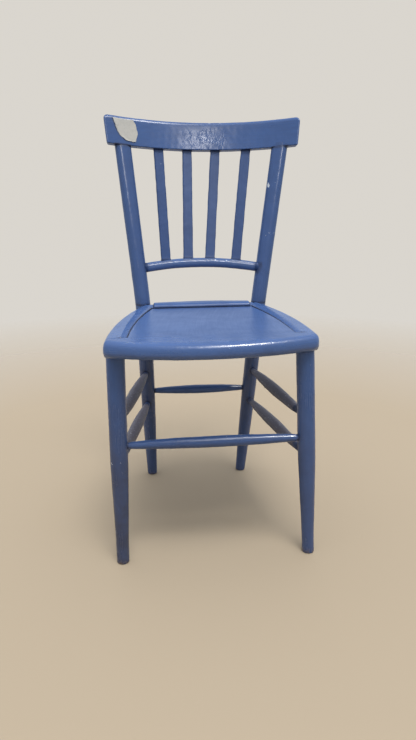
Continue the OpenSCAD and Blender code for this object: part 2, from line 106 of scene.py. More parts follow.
class ChairSizes(bpy.types.PropertyGroup):
    """Sizes of the chair's pieces, as in its frame."""

    seat_top: length("Seat top", "Height of the seat's top at the front", SEAT_UNDER + 0.0315)
    seat_rise: angle("Seat rise", "How far the rails' top rises to the back", 1.0)
    panel_rise: angle("Panel rise", "How far the panel rises to the back", 0.25)
    seat_half_w: length("Seat half width", "Greatest half width of the seat", 0.1965)
    seat_front: length("Seat front", "Furthest forward point of the seat, ahead of the front feet", 0.060)
    seat_back: length("Seat back", "Furthest back point of the seat, behind the front feet", 0.363)
    panel_half_w: length("Panel half width", "Half width of the panel at the front", 0.155)
    panel_front: length("Panel front", "Line where the front rail ends and the panel begins", 0.008)
    panel_back: length("Panel back", "Line where the panel ends and the back rail begins", 0.313)
    crown: length("Crown", "Height of the back rail above the seat's top at the front", 0.0105)
    front_foot_x: length("Front feet", "Half distance between the front feet", 0.185)
    front_foot_y: length("Front feet forward", "How far behind the measuring line the front feet are", -0.008)
    front_top_x: length("Front leg tops", "Half distance between the tops of the front legs", 0.176)
    front_top_y: length("Front leg set back", "How far back the tops of the front legs are", 0.016)
    front_leg_r: length("Front leg radius", "Radius of a front leg at the top", 0.0172)
    back_foot_x: length("Back feet", "Half distance between the back feet", 0.116)
    back_foot_y: length("Back feet set back", "How far the back feet are behind the front feet", 0.386)
    foot_r: length("Foot radius", "Radius of a foot", 0.012)
    knee_x: length("Posts at the seat", "Half distance between the posts at the seat", 0.138)
    knee_y: length("Posts set back", "How far the posts are behind the front feet at the seat", 0.353)
    knee_z: length("Bend height", "Height of the bend where the back leg becomes the post", 0.450)
    knee_creep: length("Post creep", "How far the right post is behind the posts' middle at the seat", 0.005)
    post_r: length("Post radius", "Radius of a post at the seat", 0.0176)
    post_top_x: length("Posts at the top", "Half distance between the tops of the posts", 0.183)
    post_top_y: length("Post tops set back", "How far the tops of the posts are behind the front feet", 0.420)
    post_top_z: length("Post tops", "Height of the tops of the posts", 0.805)
    post_top_depth: length("Post depth", "Depth of a post at the top, front to back", 0.023)
    crest_w: length("Crest length", "Length of the crest rail", 0.452)
    crest_h: length("Crest height", "Height of the crest rail", 0.066)
    crest_t: length("Crest thickness", "Thickness of the crest rail", 0.022)
    crest_bend: length("Crest bend", "Radius of the crest rail's bend", 0.560)
    crest_tilt: angle("Crest tilt", "How much further back the crest rail leans than the posts", 2.0)
    crest_slant: length("Crest slant", "How far each end of the crest rail slants in to the bottom", 0.006)
    crest_shift: length("Crest shift", "How far the crest rail is to the right of the posts' middle", 0.002)
    slat_w: length("Slat width", "Width of a slat", 0.0225)
    slat_t: length("Slat thickness", "Thickness of a slat", 0.009)
    lower_z: length("Lower rail height", "Height of the lower rail's ends", 0.5305)
    lower_rise: length("Lower rail rise", "Rise of the lower rail in the middle", 0.013)
    lower_bow: length("Lower rail bow", "How far the lower rail bows back in the middle", 0.012)
    lower_h: length("Lower rail section height", "Height of the lower rail's section", 0.022)
    lower_t: length("Lower rail section thickness", "Thickness of the lower rail's section", 0.018)
    tenon_r: length("Tenon radius", "Radius of a stretcher's tenon", 0.006)
    lean_top: length("Lean at the top", "How far the old frame leans to the right at the posts' tops", 0.016)
    lean_foot: length("Lean at the feet", "How far the back feet are out to the left", -0.004)
    front_lean: length("Front lean", "How far the front legs lean to the left", 0.009)
    creep_x: share("Seat creep across", "Creep of the seat to the right for each metre back", 0.027)
    creep_y: share("Seat creep back", "Creep of the seat's right to the back for each metre across", 0.055)


class ChairPaint(bpy.types.PropertyGroup):
    """Colours and finish of the paint, the wood and the label."""

    fresh: colour("Paint", "Blue of the sound paint", (0.044, 0.097, 0.258))
    thin: colour("Thin paint", "Paint where the brush left it thin", (0.036, 0.079, 0.212))
    # The dust colour is grey-brown dirt on the lower legs and stretchers, and also painted shade that darkens
    # the slats, posts and legs all over.
    dust_and_shade: colour("Dust", "Grey-brown dirt rubbed into the lower legs", (0.031, 0.037, 0.066))
    # The grime colour is also painted shade in gaps, in joints and just under the crest rail and the seat.
    dark_grime_and_shade: colour("Grime", "Dark blue grime in joints and grooves", (0.012, 0.018, 0.050))
    undercoat: colour("Undercoat", "Pale undercoat in nicks", (0.50, 0.55, 0.62))
    old_wood: colour("Old wood", "Scuffed brown wood", (0.115, 0.065, 0.035))
    rung: colour("Rung", "Dark worn surface of the side stretchers", (0.150, 0.147, 0.190))
    rung_speck: colour("Rung specks", "Pale specks on the side stretchers", (0.30, 0.29, 0.30))
    paper: colour("Paper", "Off-white of the label", (0.47, 0.455, 0.415))
    steel: colour("Steel", "Old steel of the screws", (0.30, 0.30, 0.31))
    dowel: colour("Dowel", "Plain hardwood of the dowels", (0.45, 0.30, 0.16))
    stroke: length("Brush ridge", "Height of the ridges that the brush left", 0.00013)
    lump: length("Paint lumps", "Height of the uneven coats of paint", 0.00016)
    wrinkle: length("Wrinkles", "Height of the wrinkled paint on the crest rail", 0.00022)


class ChairStage(bpy.types.PropertyGroup):
    """Floor, lamps and camera."""

    floor: colour("Floor", "Colour of the floor", (0.335, 0.275, 0.200))
    backdrop: colour("Backdrop", "Colour seen behind the chair", (0.70, 0.67, 0.62))
    sheen: colour("Sheen", "Colour that the world shows to reflections", (0.56, 0.62, 0.72))
    horizon: share("Light from the sides", "Strength of the world's light at the horizon", 0.22)
    zenith: share("Light from above", "Strength of the world's light overhead", 1.70)
    key: share("Key light", "Strength of the broad lamp overhead", 2.3)
    key_up: angle("Key height", "Height of the key light above the horizon", 70.0)
    key_turn: angle("Key turn", "How far the key light is to the right of the front", 12.0)
    glint: share("Glint light", "Strength of the lamp that only shines in the gloss, high on the right", 3.6)
    glint_up: angle("Glint height", "Height of the glint light above the horizon", 62.0)
    glint_turn: angle("Glint turn", "How far the glint light is to the right of the front", 50.0)
    strip: power("Strip light", "Power of the tall narrow lamp that only shines in the gloss", 4.6)
    strip_up: angle("Strip height", "Height of the strip light above the horizon", 31.5)
    strip_turn: angle("Strip turn", "How far the strip light is to the right of the front", 7.5)
    focal: length("Focal length", "Focal length of the lens, on a sensor 36 mm long", 0.02822)
    pitch: angle("Pitch", "How far the camera looks down", 15.5)
    heading: angle("Heading", "How far the camera looks to the right", 5.8)


def chair_settings(context):
    """The chair's sizes and its paint."""
    return context.scene.chair_sizes, context.scene.chair_paint


# ---- Small helpers ----

SEAT_TO_LEFT = 0.0025
SHARP_ANGLE = math.radians(50.0)


def unit(v):
    """Each vector divided by its length."""
    return v / np.linalg.norm(v, axis=-1, keepdims=True)


def mix(a, b, t):
    """Straight blend from a to b."""
    return a + (b - a) * t


def smooth(t):
    """Smooth step: 3 t^2 - 2 t^3, held at 0 and 1 outside."""
    t = np.clip(t, 0.0, 1.0)
    return t * t * (3.0 - 2.0 * t)


def bell(d, width):
    """Bell curve of a distance: exp(-(d / width)^2)."""
    return np.exp(-((d / width) ** 2))


def fringe(d, width):
    """1 inside an edge, and a bell curve of the distance outside it."""
    return bell(np.maximum(d, 0.0), width)


def quarter_round(d, r):
    """How far an edge rounded by radius r is drawn in at distance d: r - sqrt(r^2 - (r - d)^2)."""
    x = np.clip(r - d, 0.0, r)
    return r - np.sqrt(np.maximum(r * r - x * x, 0.0))


def round_steps(r, count):
    """Distances from an end, close together where a rounded edge of radius r turns most: r (1 - cos a)."""
    return r * (1.0 - np.cos(np.linspace(0.0, QUARTER_TURN, count)))


def waves(points, size, seed, count=14):
    """Smooth noise from -1 to 1: a sum of sine waves of about one size in random directions."""
    rng = np.random.default_rng(seed)
    direction = unit(rng.normal(size=(count, 3)))
    wavelength = size * rng.uniform(0.7, 1.5, count)
    phase = rng.uniform(0.0, FULL_TURN, count)
    angle_at = points @ (direction * (FULL_TURN / wavelength[:, None])).T + phase
    return np.sin(angle_at).sum(-1) / math.sqrt(2.0 * count)


def feet_shift(c):
    """Place of the measuring line's middle in the chair's own frame, found from the left front foot."""
    return FOOT[0] + c.front_foot_x - c.front_lean / 2, FOOT[1] - c.front_foot_y


def from_feet(x, y, z):
    """A point measured from the front feet's line, in the chair's own frame."""
    right, back = feet_shift(bpy.context.scene.chair_sizes)
    return np.stack(np.broadcast_arrays(x + right, y + back, z), -1)


def placed(points):
    """Points measured from the front feet's line, in the chair's own frame."""
    return from_feet(points[..., 0], points[..., 1], points[..., 2])


def racked(x, y):
    """Plan of the seat after it crept: x moves with y, and y moves with x."""
    c = bpy.context.scene.chair_sizes
    return x - SEAT_TO_LEFT + c.creep_x * y, y + c.creep_y * x


def normals_of(rings):
    """Outward unit normals of closed rings: the cross product of the steps along and around."""
    along = np.gradient(rings, axis=0)
    around = np.roll(rings, -1, 1) - np.roll(rings, 1, 1)
    n = np.cross(along, around)
    n /= np.maximum(np.linalg.norm(n, axis=-1, keepdims=True), 1e-12)
    outward = ((rings - rings.mean(1, keepdims=True)) * n).sum()
    return n if outward > 0 else -n


def around_distance(rings):
    """Distance round each ring from its first point, with the closing step at the end."""
    step = np.linalg.norm(np.roll(rings, -1, 1) - rings, axis=-1)
    return np.concatenate([np.zeros((len(rings), 1)), np.cumsum(step, 1)], 1)


def along_distance(rings):
    """Distance along the rings' middles from the first ring."""
    step = np.linalg.norm(np.diff(rings.mean(1), axis=0), axis=-1)
    return np.concatenate([[0.0], np.cumsum(step)])


def uneven(rings, lump, seed_offset=0):
    """Moves a surface in and out by the uneven thickness of several coats of paint."""
    n = normals_of(rings)
    height = waves(rings, 0.045, 11 + seed_offset) + 0.55 * waves(rings, 0.014, 12 + seed_offset)
    return rings + n * (lump * height)[..., None]


def put_piece(name, rings, replaces, masks, slot="blue_paint", material=None):
    """rings has the shape (rings, points in a ring, 3). The UV map "grain" holds metres along and round the
    piece. masks are numbers for each point, which the materials read as attributes. The faces are turned
    over where the volume, summed from their triangles, is negative."""
    m, n = rings.shape[:2]
    index = np.arange(m * n).reshape(m, n)
    a, b = index[:-1], index[1:]
    quads = np.stack([a, b, np.roll(b, -1, 1), np.roll(a, -1, 1)], -1).reshape(-1, 4)
    p = rings.reshape(-1, 3)
    corner = p[quads]
    middle = p.mean(0)
    side = [corner[:, k] - corner[:, 0] for k in (1, 2, 3)]
    volume = ((np.cross(side[0], side[1]) + np.cross(side[1], side[2])) * (corner[:, 0] - middle)).sum()
    u = np.repeat(along_distance(rings)[:, None], n + 1, 1)
    v = around_distance(rings)
    uv = np.stack([u, v], -1)
    quad_uv = np.stack([uv[:-1, :-1], uv[1:, :-1], uv[1:, 1:], uv[:-1, 1:]], 2).reshape(-1, 4, 2)
    caps = [index[0], index[-1][::-1]]
    cap_uv = [uv[0, :-1], uv[-1, :-1][::-1]]
    if volume < 0:
        quads, quad_uv = quads[:, ::-1], quad_uv[:, ::-1]
        caps = [c[::-1] for c in caps]
        cap_uv = [c[::-1] for c in cap_uv]
    mesh = bpy.data.meshes.new(name)
    mesh.from_pydata(p, [], quads.tolist() + [c.tolist() for c in caps])
    mesh.uv_layers.new(name="grain").data.foreach_set(
        "uv", np.concatenate([quad_uv.reshape(-1, 2), *cap_uv]).astype(np.float32).ravel()
    )
    mesh.polygons.foreach_set("use_smooth", np.ones(len(mesh.polygons), bool))
    for mask, values in masks.items():
        values = np.broadcast_to(values, (m, n)).astype(np.float32).ravel()
        mesh.attributes.new(mask, "FLOAT", "POINT").data.foreach_set("value", values)
    mesh.validate()
    mesh.update()
    mesh.set_sharp_from_angle(angle=SHARP_ANGLE)
    mesh.materials.append(material or blue_paint())
    piece = bpy.data.objects.new(name, mesh)
    bpy.context.scene.collection.objects.link(piece)
    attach(piece, "root")
    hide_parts(replaces)
    return piece


# ---- Points of the frame ----

# Half the height that the bend takes, heights that the tapers end at, and the posts' growth above the seat
BEND_REACH = 0.022
FRONT_TAPER = 0.240
BACK_TAPER = 0.300
BACK_TAPER_POWER = 1.8
POST_SWELL = 0.001


def knee_lean(c):
    """How far the old frame leans to the right at the bend."""
    return mix(c.lean_foot, c.lean_top, c.knee_z / c.post_top_z)


def front_foot(c, s):
    """Middle of a front foot on the floor."""
    return np.array([s * c.front_foot_x + c.front_lean / 2, c.front_foot_y, 0.0])


def front_top(c, s):
    """Middle of a front leg's top, under the seat."""
    return np.array([s * c.front_top_x - c.front_lean / 2, c.front_top_y, SEAT_UNDER])


def back_foot(c, s):
    """Middle of a back foot on the floor."""
    return np.array([s * c.back_foot_x + c.lean_foot, c.back_foot_y, 0.0])


def knee(c, s):
    """Point where a back leg's line meets its post's line."""
    return np.array([s * c.knee_x + knee_lean(c), c.knee_y + s * c.knee_creep, c.knee_z])


def post_top(c, s):
    """Middle of a post's top."""
    return np.array([s * c.post_top_x + c.lean_top, c.post_top_y, c.post_top_z])


def at_height(p, q, z):
    """Point of the line from p to q at a height."""
    t = (np.asarray(z, float) - p[2]) / (q[2] - p[2])
    return p + (q - p) * t[..., None]


def front_leg_axis(c, s, z):
    """The front leg's straight line at a height."""
    return at_height(front_foot(c, s), front_top(c, s), z)


def back_leg_axis(c, s, z):
    """The leg's line below the bend and the post's line above it, joined by a parabola 2 reaches high."""
    z = np.asarray(z, float)
    foot, bent, top = back_foot(c, s), knee(c, s), post_top(c, s)
    low = at_height(foot, bent, z)
    high = at_height(bent, top, z)
    turn = (top - bent) / (top[2] - bent[2]) - (bent - foot) / (bent[2] - foot[2])
    t = np.clip((z - c.knee_z + BEND_REACH) / (2 * BEND_REACH), 0.0, 1.0)
    low = low + turn * (BEND_REACH * t * t)[..., None]
    return np.where((z < c.knee_z + BEND_REACH)[..., None], low, high)


def front_leg_radius(c, z):
    """Grows from the foot to the full radius by a smooth step over the taper's height."""
    return mix(c.foot_r, c.front_leg_r, smooth(z / FRONT_TAPER))


def back_leg_radius(c, z):
    """Grows from the foot as 1 - (1 - z / taper)^power, and then evenly by a little more up to the top."""
    left = 1.0 - np.clip(z / BACK_TAPER, 0.0, 1.0)
    return mix(c.foot_r, c.post_r, 1.0 - left**BACK_TAPER_POWER) + POST_SWELL * above_knee(c, z)


def above_knee(c, z):
    """0 up to the bend, and 1 at the post's top."""
    return np.clip((z - c.knee_z) / (c.post_top_z - c.knee_z), 0.0, 1.0)


def crest_lean(c):
    """How far the crest rail leans back from upright: the posts' own lean and its tilt."""
    return math.atan2(c.post_top_y - c.knee_y, c.post_top_z - c.knee_z) + c.crest_tilt


def bend_to_posts(c):
    """Distance from the middle of the crest rail's bend to the line through both posts."""
    return math.sqrt(c.crest_bend**2 - c.post_top_x**2)


def crest_point(c, x, y, height):
    """A point of the crest rail's own upright frame, leaned back about the line of the posts' tops."""
    lean = crest_lean(c)
    return from_feet(
        c.lean_top + c.crest_shift + x,
        c.post_top_y + y * math.cos(lean) + height * math.sin(lean),
        c.post_top_z - y * math.sin(lean) + height * math.cos(lean),
    )


def crest_height_of(c, points):
    """Height above the crest rail's lower face, for points of the chair's own frame."""
    lean = crest_lean(c)
    y = points[..., 1] - feet_shift(c)[1] - c.post_top_y
    z = points[..., 2] - c.post_top_z
    return y * math.sin(lean) + z * math.cos(lean)


# ---- Material tools ----


class Tree:
    """Adds nodes to a node tree. An input that is a socket is linked, and anything else is its value."""

    def __init__(self, tree):
        self.tree = tree

    def link(self, value, socket):
        """Links one socket to another."""
        self.tree.links.new(value, socket)

    def add(self, kind, inputs=None, **settings):
        """A node with its settings made first and its inputs after them."""
        node = self.tree.nodes.new(kind)
        for key, value in settings.items():
            setattr(node, key, value)
        for key, value in (inputs or {}).items():
            if isinstance(value, bpy.types.NodeSocket):
                self.link(value, node.inputs[key])
            else:
                node.inputs[key].default_value = value
        return node

    def group(self, group, inputs):
        """Outputs of a node group that is put in the tree with its inputs."""
        return self.add("ShaderNodeGroup", inputs, node_tree=group).outputs

    def maths(self, operation, a, b, clamp=False):
        """Result of a Math node."""
        return self.add("ShaderNodeMath", {0: a, 1: b}, operation=operation, use_clamp=clamp).outputs[0]

    def plus(self, a, b, clamp=False):
        """a + b"""
        return self.maths("ADD", a, b, clamp)

    def minus(self, a, b, clamp=False):
        """a - b"""
        return self.maths("SUBTRACT", a, b, clamp)

    def times(self, a, b, clamp=False):
        """a * b"""
        return self.maths("MULTIPLY", a, b, clamp)

    def noise(self, vector, scale, detail=2.0, roughness=0.5, distortion=0.0):
        """Noise from 0 to 1."""
        inputs = {
            "Vector": vector,
            "Scale": scale,
            "Detail": detail,
            "Roughness": roughness,
            "Distortion": distortion,
        }
        return self.add("ShaderNodeTexNoise", inputs).outputs[0]

    def span(self, value, low, high, to_low=0.0, to_high=1.0):
        """Carries low..high over to to_low..to_high, clamped."""
        inputs = {0: value, 1: low, 2: high, 3: to_low, 4: to_high}
        return self.add("ShaderNodeMapRange", inputs, clamp=True).outputs[0]

    def blend(self, share_of_b, a, b):
        """Colour between a and b."""
        inputs = {0: share_of_b, 6: a, 7: b}
        return self.add("ShaderNodeMix", inputs, data_type="RGBA", blend_type="MIX").outputs[2]

    def scaled(self, vector, x, y, z):
        """A vector with each part multiplied by its own number."""
        return self.add("ShaderNodeVectorMath", {0: vector, 1: (x, y, z)}, operation="MULTIPLY").outputs[0]

    def attribute(self, name):
        """A piece's own mask."""
        return self.add("ShaderNodeAttribute", attribute_name=name).outputs["Fac"]


def rgba(c):
    """A colour with full alpha."""
    return (*c, 1.0)


def made_once(store, name):
    """Lets a function make its named group or material once, and gives back the same one after that."""

    def wrap(make):
        def get():
            made = getattr(bpy.data, store).get(name)
            return make(name) if made is None else made

        return get

    return wrap


def new_group(name, inputs, outputs):
    """An empty shader node group with named inputs and outputs, and its input and output nodes."""
    group = bpy.data.node_groups.new(name, "ShaderNodeTree")
    for socket, kind, default in inputs:
        made = group.interface.new_socket(name=socket, in_out="INPUT", socket_type=kind)
        if default is not None:
            made.default_value = default
    for socket, kind in outputs:
        group.interface.new_socket(name=socket, in_out="OUTPUT", socket_type=kind)
    tree = Tree(group)
    return group, tree, tree.add("NodeGroupInput").outputs, tree.add("NodeGroupOutput").inputs


FLOAT, VECTOR, COLOR = "NodeSocketFloat", "NodeSocketVector", "NodeSocketColor"


@made_once("node_groups", "Brush marks")
def brush_group(name):
    """Marks of a stiff brush: noise drawn out along the grain in three widths, the finest on top."""
    group, t, given, out = new_group(
        name,
        [("Grain", VECTOR, None), ("Place", VECTOR, None), ("Finest", FLOAT, 1.0)],
        [("Height", FLOAT), ("Streak", FLOAT)],
    )
    broad = t.noise(t.scaled(given["Grain"], 9.0, 170.0, 1.0), 1.0, 2.0, 0.5, 0.3)
    ridge = t.noise(t.scaled(given["Grain"], 22.0, 620.0, 1.0), 1.0, 3.0, 0.6, 0.4)
    bristle = t.noise(t.scaled(given["Grain"], 60.0, 1500.0, 1.0), 1.0, 2.0, 0.6, 0.2)
    where = t.span(t.noise(given["Place"], 14.0, 3.0, 0.55), 0.38, 0.66, 0.25, 1.0)
    fine = t.times(t.times(bristle, 0.22), given["Finest"])
    height = t.plus(t.times(broad, 0.75), t.times(ridge, 0.5))
    height = t.times(t.plus(height, fine), where)
    t.link(height, out["Height"])
    t.link(t.times(t.plus(broad, ridge), 0.5), out["Streak"])
    return group


@made_once("node_groups", "Mottled paint")
def mottle_group(name):
    """Colour of old paint: clouds of thin paint, the brush's streaks, and a slow change over the piece."""
    group, t, given, out = new_group(
        name,
        [
            ("Place", VECTOR, None),
            ("Streak", FLOAT, 0.5),
            ("Paint", COLOR, (1, 1, 1, 1)),
            ("Thin paint", COLOR, (1, 1, 1, 1)),
        ],
        [("Colour", COLOR), ("Cloud", FLOAT)],
    )
    cloud = t.noise(given["Place"], 16.0, 4.0, 0.6, 0.6)
    slow = t.noise(given["Place"], 4.5, 1.0, 0.5)
    together = t.plus(t.times(cloud, 0.55), t.times(slow, 0.45))
    together = t.plus(together, t.times(t.minus(given["Streak"], 0.5), 0.55))
    thin = t.span(together, 0.36, 0.62)
    t.link(t.blend(thin, given["Thin paint"], given["Paint"]), out["Colour"])
    t.link(thin, out["Cloud"])
    return group


@made_once("node_groups", "Nicks")
def chip_group(name):
    """Small nicks: spots where noise passes a limit that falls as the edge mask rises, with a soft rim."""
    group, t, given, out = new_group(
        name,
        [("Place", VECTOR, None), ("Edge", FLOAT, 0.0), ("Size", FLOAT, 90.0), ("Amount", FLOAT, 0.0)],
        [("Mask", FLOAT), ("Rim", FLOAT)],
    )
    spots = t.noise(given["Place"], given["Size"], 3.0, 0.62, 0.8)
    gate = t.noise(given["Place"], 21.0, 2.0, 0.5)
    score = t.plus(spots, t.times(t.minus(gate, 0.5), 0.55))
    score = t.plus(score, t.times(given["Edge"], 0.10))
    score = t.plus(score, given["Amount"])
    t.link(t.span(score, 0.795, 0.81), out["Mask"])
    t.link(t.span(score, 0.765, 0.80), out["Rim"])
    return group


def new_material(name):
    """A material with its tree, its shader, object coordinates and the grain's UV map."""
    material = bpy.data.materials.new(name)
    material.use_nodes = True
    t = Tree(material.node_tree)
    shader = material.node_tree.nodes["Principled BSDF"]
    place = t.add("ShaderNodeTexCoord").outputs["Object"]
    grain = t.add("ShaderNodeUVMap", uv_map="grain").outputs["UV"]
    return material, t, shader, place, grain


def connect(t, shader, colour_socket, roughness, height, distance):
    """Feeds colour, roughness and a bump to the shader."""
    bump = t.add("ShaderNodeBump", {"Strength": 1.0, "Distance": distance, "Height": height})
    t.link(colour_socket, shader.inputs["Base Color"])
    t.link(roughness, shader.inputs["Roughness"])
    t.link(bump.outputs[0], shader.inputs["Normal"])


def crease_lines(t, place):
    """Thin ridges along the borders of warped cells, in two sizes."""
    warp = t.add("ShaderNodeTexNoise", {"Vector": place, "Scale": 60.0, "Detail": 2.0}).outputs["Color"]
    evened = t.add("ShaderNodeVectorMath", {0: warp, 1: (0.5, 0.5, 0.5)}, operation="SUBTRACT").outputs[0]
    shift = t.scaled(evened, 0.016, 0.016, 0.016)
    moved = t.add("ShaderNodeVectorMath", {0: shift, 1: place}, operation="ADD").outputs[0]
    lines = []
    stretched = t.scaled(moved, 1.0, 1.0, 0.55)
    for scale, width in ((62.0, 0.14), (140.0, 0.20)):
        inputs = {"Vector": stretched, "Scale": scale}
        cell = t.add("ShaderNodeTexVoronoi", inputs, feature="DISTANCE_TO_EDGE").outputs["Distance"]
        lines.append(t.span(cell, 0.0, width, 1.0, 0.0))
    return t.plus(lines[0], t.times(lines[1], 0.45))


@made_once("materials", "worn blue paint")
def blue_paint(name):
    """Thick brushed blue paint, semi-gloss, with grime and painted shade in joints and gaps, darkened by dirt
    and painted shade, nicked on edges, scuffed at the feet.
    """
    look = bpy.context.scene.chair_paint
    material, t, shader, place, grain = new_material(name)
    brush = t.group(brush_group(), {"Grain": grain, "Place": place})
    streak, fresh, thin = brush["Streak"], rgba(look.fresh), rgba(look.thin)
    given = {"Place": place, "Streak": streak, "Paint": fresh, "Thin paint": thin}
    mottle = t.group(mottle_group(), given)
    masks = ("edge", "grime_and_shade", "scuff", "wrinkle", "dust_and_shade", "calm", "dull", "shine")
    edge, grime_and_shade, scuff, wrinkle, dust_and_shade, calm, dull, shine = (t.attribute(a) for a in masks)
    nicks = t.group(chip_group(), {"Place": place, "Edge": edge, "Size": 95.0, "Amount": -0.02})
    scuffs = t.group(chip_group(), {"Place": place, "Edge": scuff, "Size": 160.0, "Amount": -0.02})
    # Grime and painted shade gather in joints and gaps and just under the crest rail and the seat, with a
    # ragged edge
    ragged = t.noise(place, 210.0, 3.0, 0.6)
    dark_grime_and_shade = t.times(grime_and_shade, t.span(ragged, 0.25, 0.6, 0.75, 1.1), clamp=True)
    # Dirt, and painted shade on the slats, posts and legs, smeared by noise
    smear = t.span(t.noise(place, 26.0, 4.0, 0.65, 0.5), 0.30, 0.68, 0.7, 1.0)
    shade = t.blend(t.times(dust_and_shade, smear), mottle["Colour"], rgba(look.dust_and_shade))
    shade = t.blend(dark_grime_and_shade, shade, rgba(look.dark_grime_and_shade))
    worn = t.blend(nicks["Mask"], shade, rgba(look.undercoat))
    foot_noise = t.span(t.noise(place, 120.0, 3.0, 0.65), 0.40, 0.62)
    foot = t.times(scuff, foot_noise, clamp=True)
    worn = t.blend(foot, worn, rgba(look.old_wood))
    # Orange peel, brush ridges and nicks in one height
    peel = t.noise(place, 420.0, 2.0, 0.5)
    height = t.plus(brush["Height"], t.times(peel, 0.28))
    height = t.times(height, t.span(calm, 0.0, 1.0, 1.0, 0.25))
    creases = t.times(crease_lines(t, place), 1.5)
    height = t.plus(height, t.times(creases, wrinkle))
    height = t.minus(height, t.times(nicks["Rim"], 0.9))
    height = t.minus(height, t.times(scuffs["Rim"], 0.4))
    rough = t.span(mottle["Cloud"], 0.0, 1.0, 0.30, 0.20)
    rough = t.plus(rough, t.times(t.plus(dark_grime_and_shade, foot), 0.22), clamp=True)
    rough = t.minus(rough, t.times(wrinkle, 0.06), clamp=True)
    rough = t.plus(rough, t.times(dull, 0.25), clamp=True)
    t.link(t.span(shine, -1.0, 1.0), shader.inputs["Specular IOR Level"])
    connect(t, shader, worn, rough, height, look.stroke)
    return material


@made_once("materials", "dark worn rung")
def dark_rung(name):
    """Dark worn side stretcher: rough speckled brown-black, with blue left at the ends."""
    look = bpy.context.scene.chair_paint
    material, t, shader, place, grain = new_material(name)
    brush = t.group(brush_group(), {"Grain": grain, "Place": place})
    left = t.attribute("paint_left")
    grime_and_shade = t.attribute("grime_and_shade")
    patch = t.noise(place, 38.0, 4.0, 0.62, 0.5)
    ragged = t.times(t.minus(patch, 0.5), 1.5)
    blue = t.span(t.plus(left, ragged), 0.42, 0.62)
    grit = t.noise(t.scaled(place, 1.0, 0.55, 1.0), 420.0, 3.0, 0.7)
    specks = t.span(grit, 0.56, 0.68)
    dots = t.span(t.noise(place, 300.0, 1.0, 0.5), 0.70, 0.73)
    streaks = t.noise(t.scaled(grain, 30.0, 520.0, 1.0), 1.0, 3.0, 0.6)
    wood = t.blend(t.span(streaks, 0.35, 0.65, 0.0, 0.28), rgba(look.rung), rgba(look.old_wood))
    wood = t.blend(t.times(specks, 0.55), wood, rgba(look.rung_speck))
    wood = t.blend(dots, wood, rgba(look.undercoat))
    paint = t.blend(t.span(patch, 0.3, 0.7), rgba(look.thin), rgba(look.dark_grime_and_shade))
    worn = t.blend(blue, wood, paint)
    # Grime and painted shade at the joints; the right side stretchers are darkened all over.
    worn = t.blend(t.times(grime_and_shade, 0.85), worn, rgba(look.dark_grime_and_shade))
    height = t.plus(t.times(grit, 1.2), t.times(brush["Height"], 0.5))
    height = t.plus(height, t.times(blue, 0.25))
    rough = t.span(grit, 0.3, 0.7, 0.52, 0.72)
    shader.inputs["Specular IOR Level"].default_value = 0.45
    connect(t, shader, worn, rough, height, 1.8 * look.stroke)
    return material


@made_once("materials", "torn paper")
def torn_paper(name):
    """Off-white paper: fibres, faint stains, and a painted shadow line that darkens its torn edges."""
    look = bpy.context.scene.chair_paint
    material, t, shader, place, _ = new_material(name)
    edge = t.attribute("edge")
    fibre = t.noise(t.scaled(place, 1.0, 1.0, 2.5), 650.0, 3.0, 0.6, 0.6)
    stain = t.span(t.noise(place, 55.0, 4.0, 0.65, 0.8), 0.42, 0.70)
    shade = t.blend(t.span(fibre, 0.3, 0.7, 0.0, 0.25), rgba(look.paper), (0.42, 0.43, 0.41, 1.0))
    shade = t.blend(t.times(stain, 0.35), shade, (0.36, 0.38, 0.36, 1.0))
    # Painted shadow: the torn edges darken towards grey.
    ragged = t.times(edge, t.span(fibre, 0.3, 0.65, 0.55, 1.0), clamp=True)
    shade = t.blend(ragged, shade, (0.20, 0.215, 0.23, 1.0))
    rough = t.span(fibre, 0.3, 0.7, 0.72, 0.88)
    connect(t, shader, shade, rough, t.plus(fibre, stain), 0.00018)
    return material


@made_once("materials", "old screw")
def screw_steel(name):
    """Old steel with paint left on it in patches."""
    look = bpy.context.scene.chair_paint
    material, t, shader, place, _ = new_material(name)
    patch = t.span(t.noise(place, 330.0, 3.0, 0.6), 0.42, 0.5)
    scratch = t.noise(t.scaled(place, 1.0, 1.0, 6.0), 500.0, 2.0, 0.6)
    shade = t.blend(patch, rgba(look.steel), rgba(look.thin))
    t.link(t.minus(1.0, patch), shader.inputs["Metallic"])
    connect(t, shader, shade, t.span(scratch, 0.3, 0.7, 0.35, 0.6), scratch, 0.0001)
    return material


@made_once("materials", "dowel wood")
def dowel_wood(name):
    """Plain hardwood with fine pores along the dowel."""
    look = bpy.context.scene.chair_paint
    material, t, shader, place, _ = new_material(name)
    pores = t.noise(t.scaled(place, 0.08, 1.0, 1.0), 900.0, 3.0, 0.6)
    shade = t.blend(t.span(pores, 0.35, 0.65, 0.0, 0.5), rgba(look.dowel), (0.25, 0.15, 0.07, 1.0))
    connect(t, shader, shade, t.span(pores, 0.3, 0.7, 0.5, 0.65), pores, 0.0001)
    return material


# ---- Sections and sweeps ----


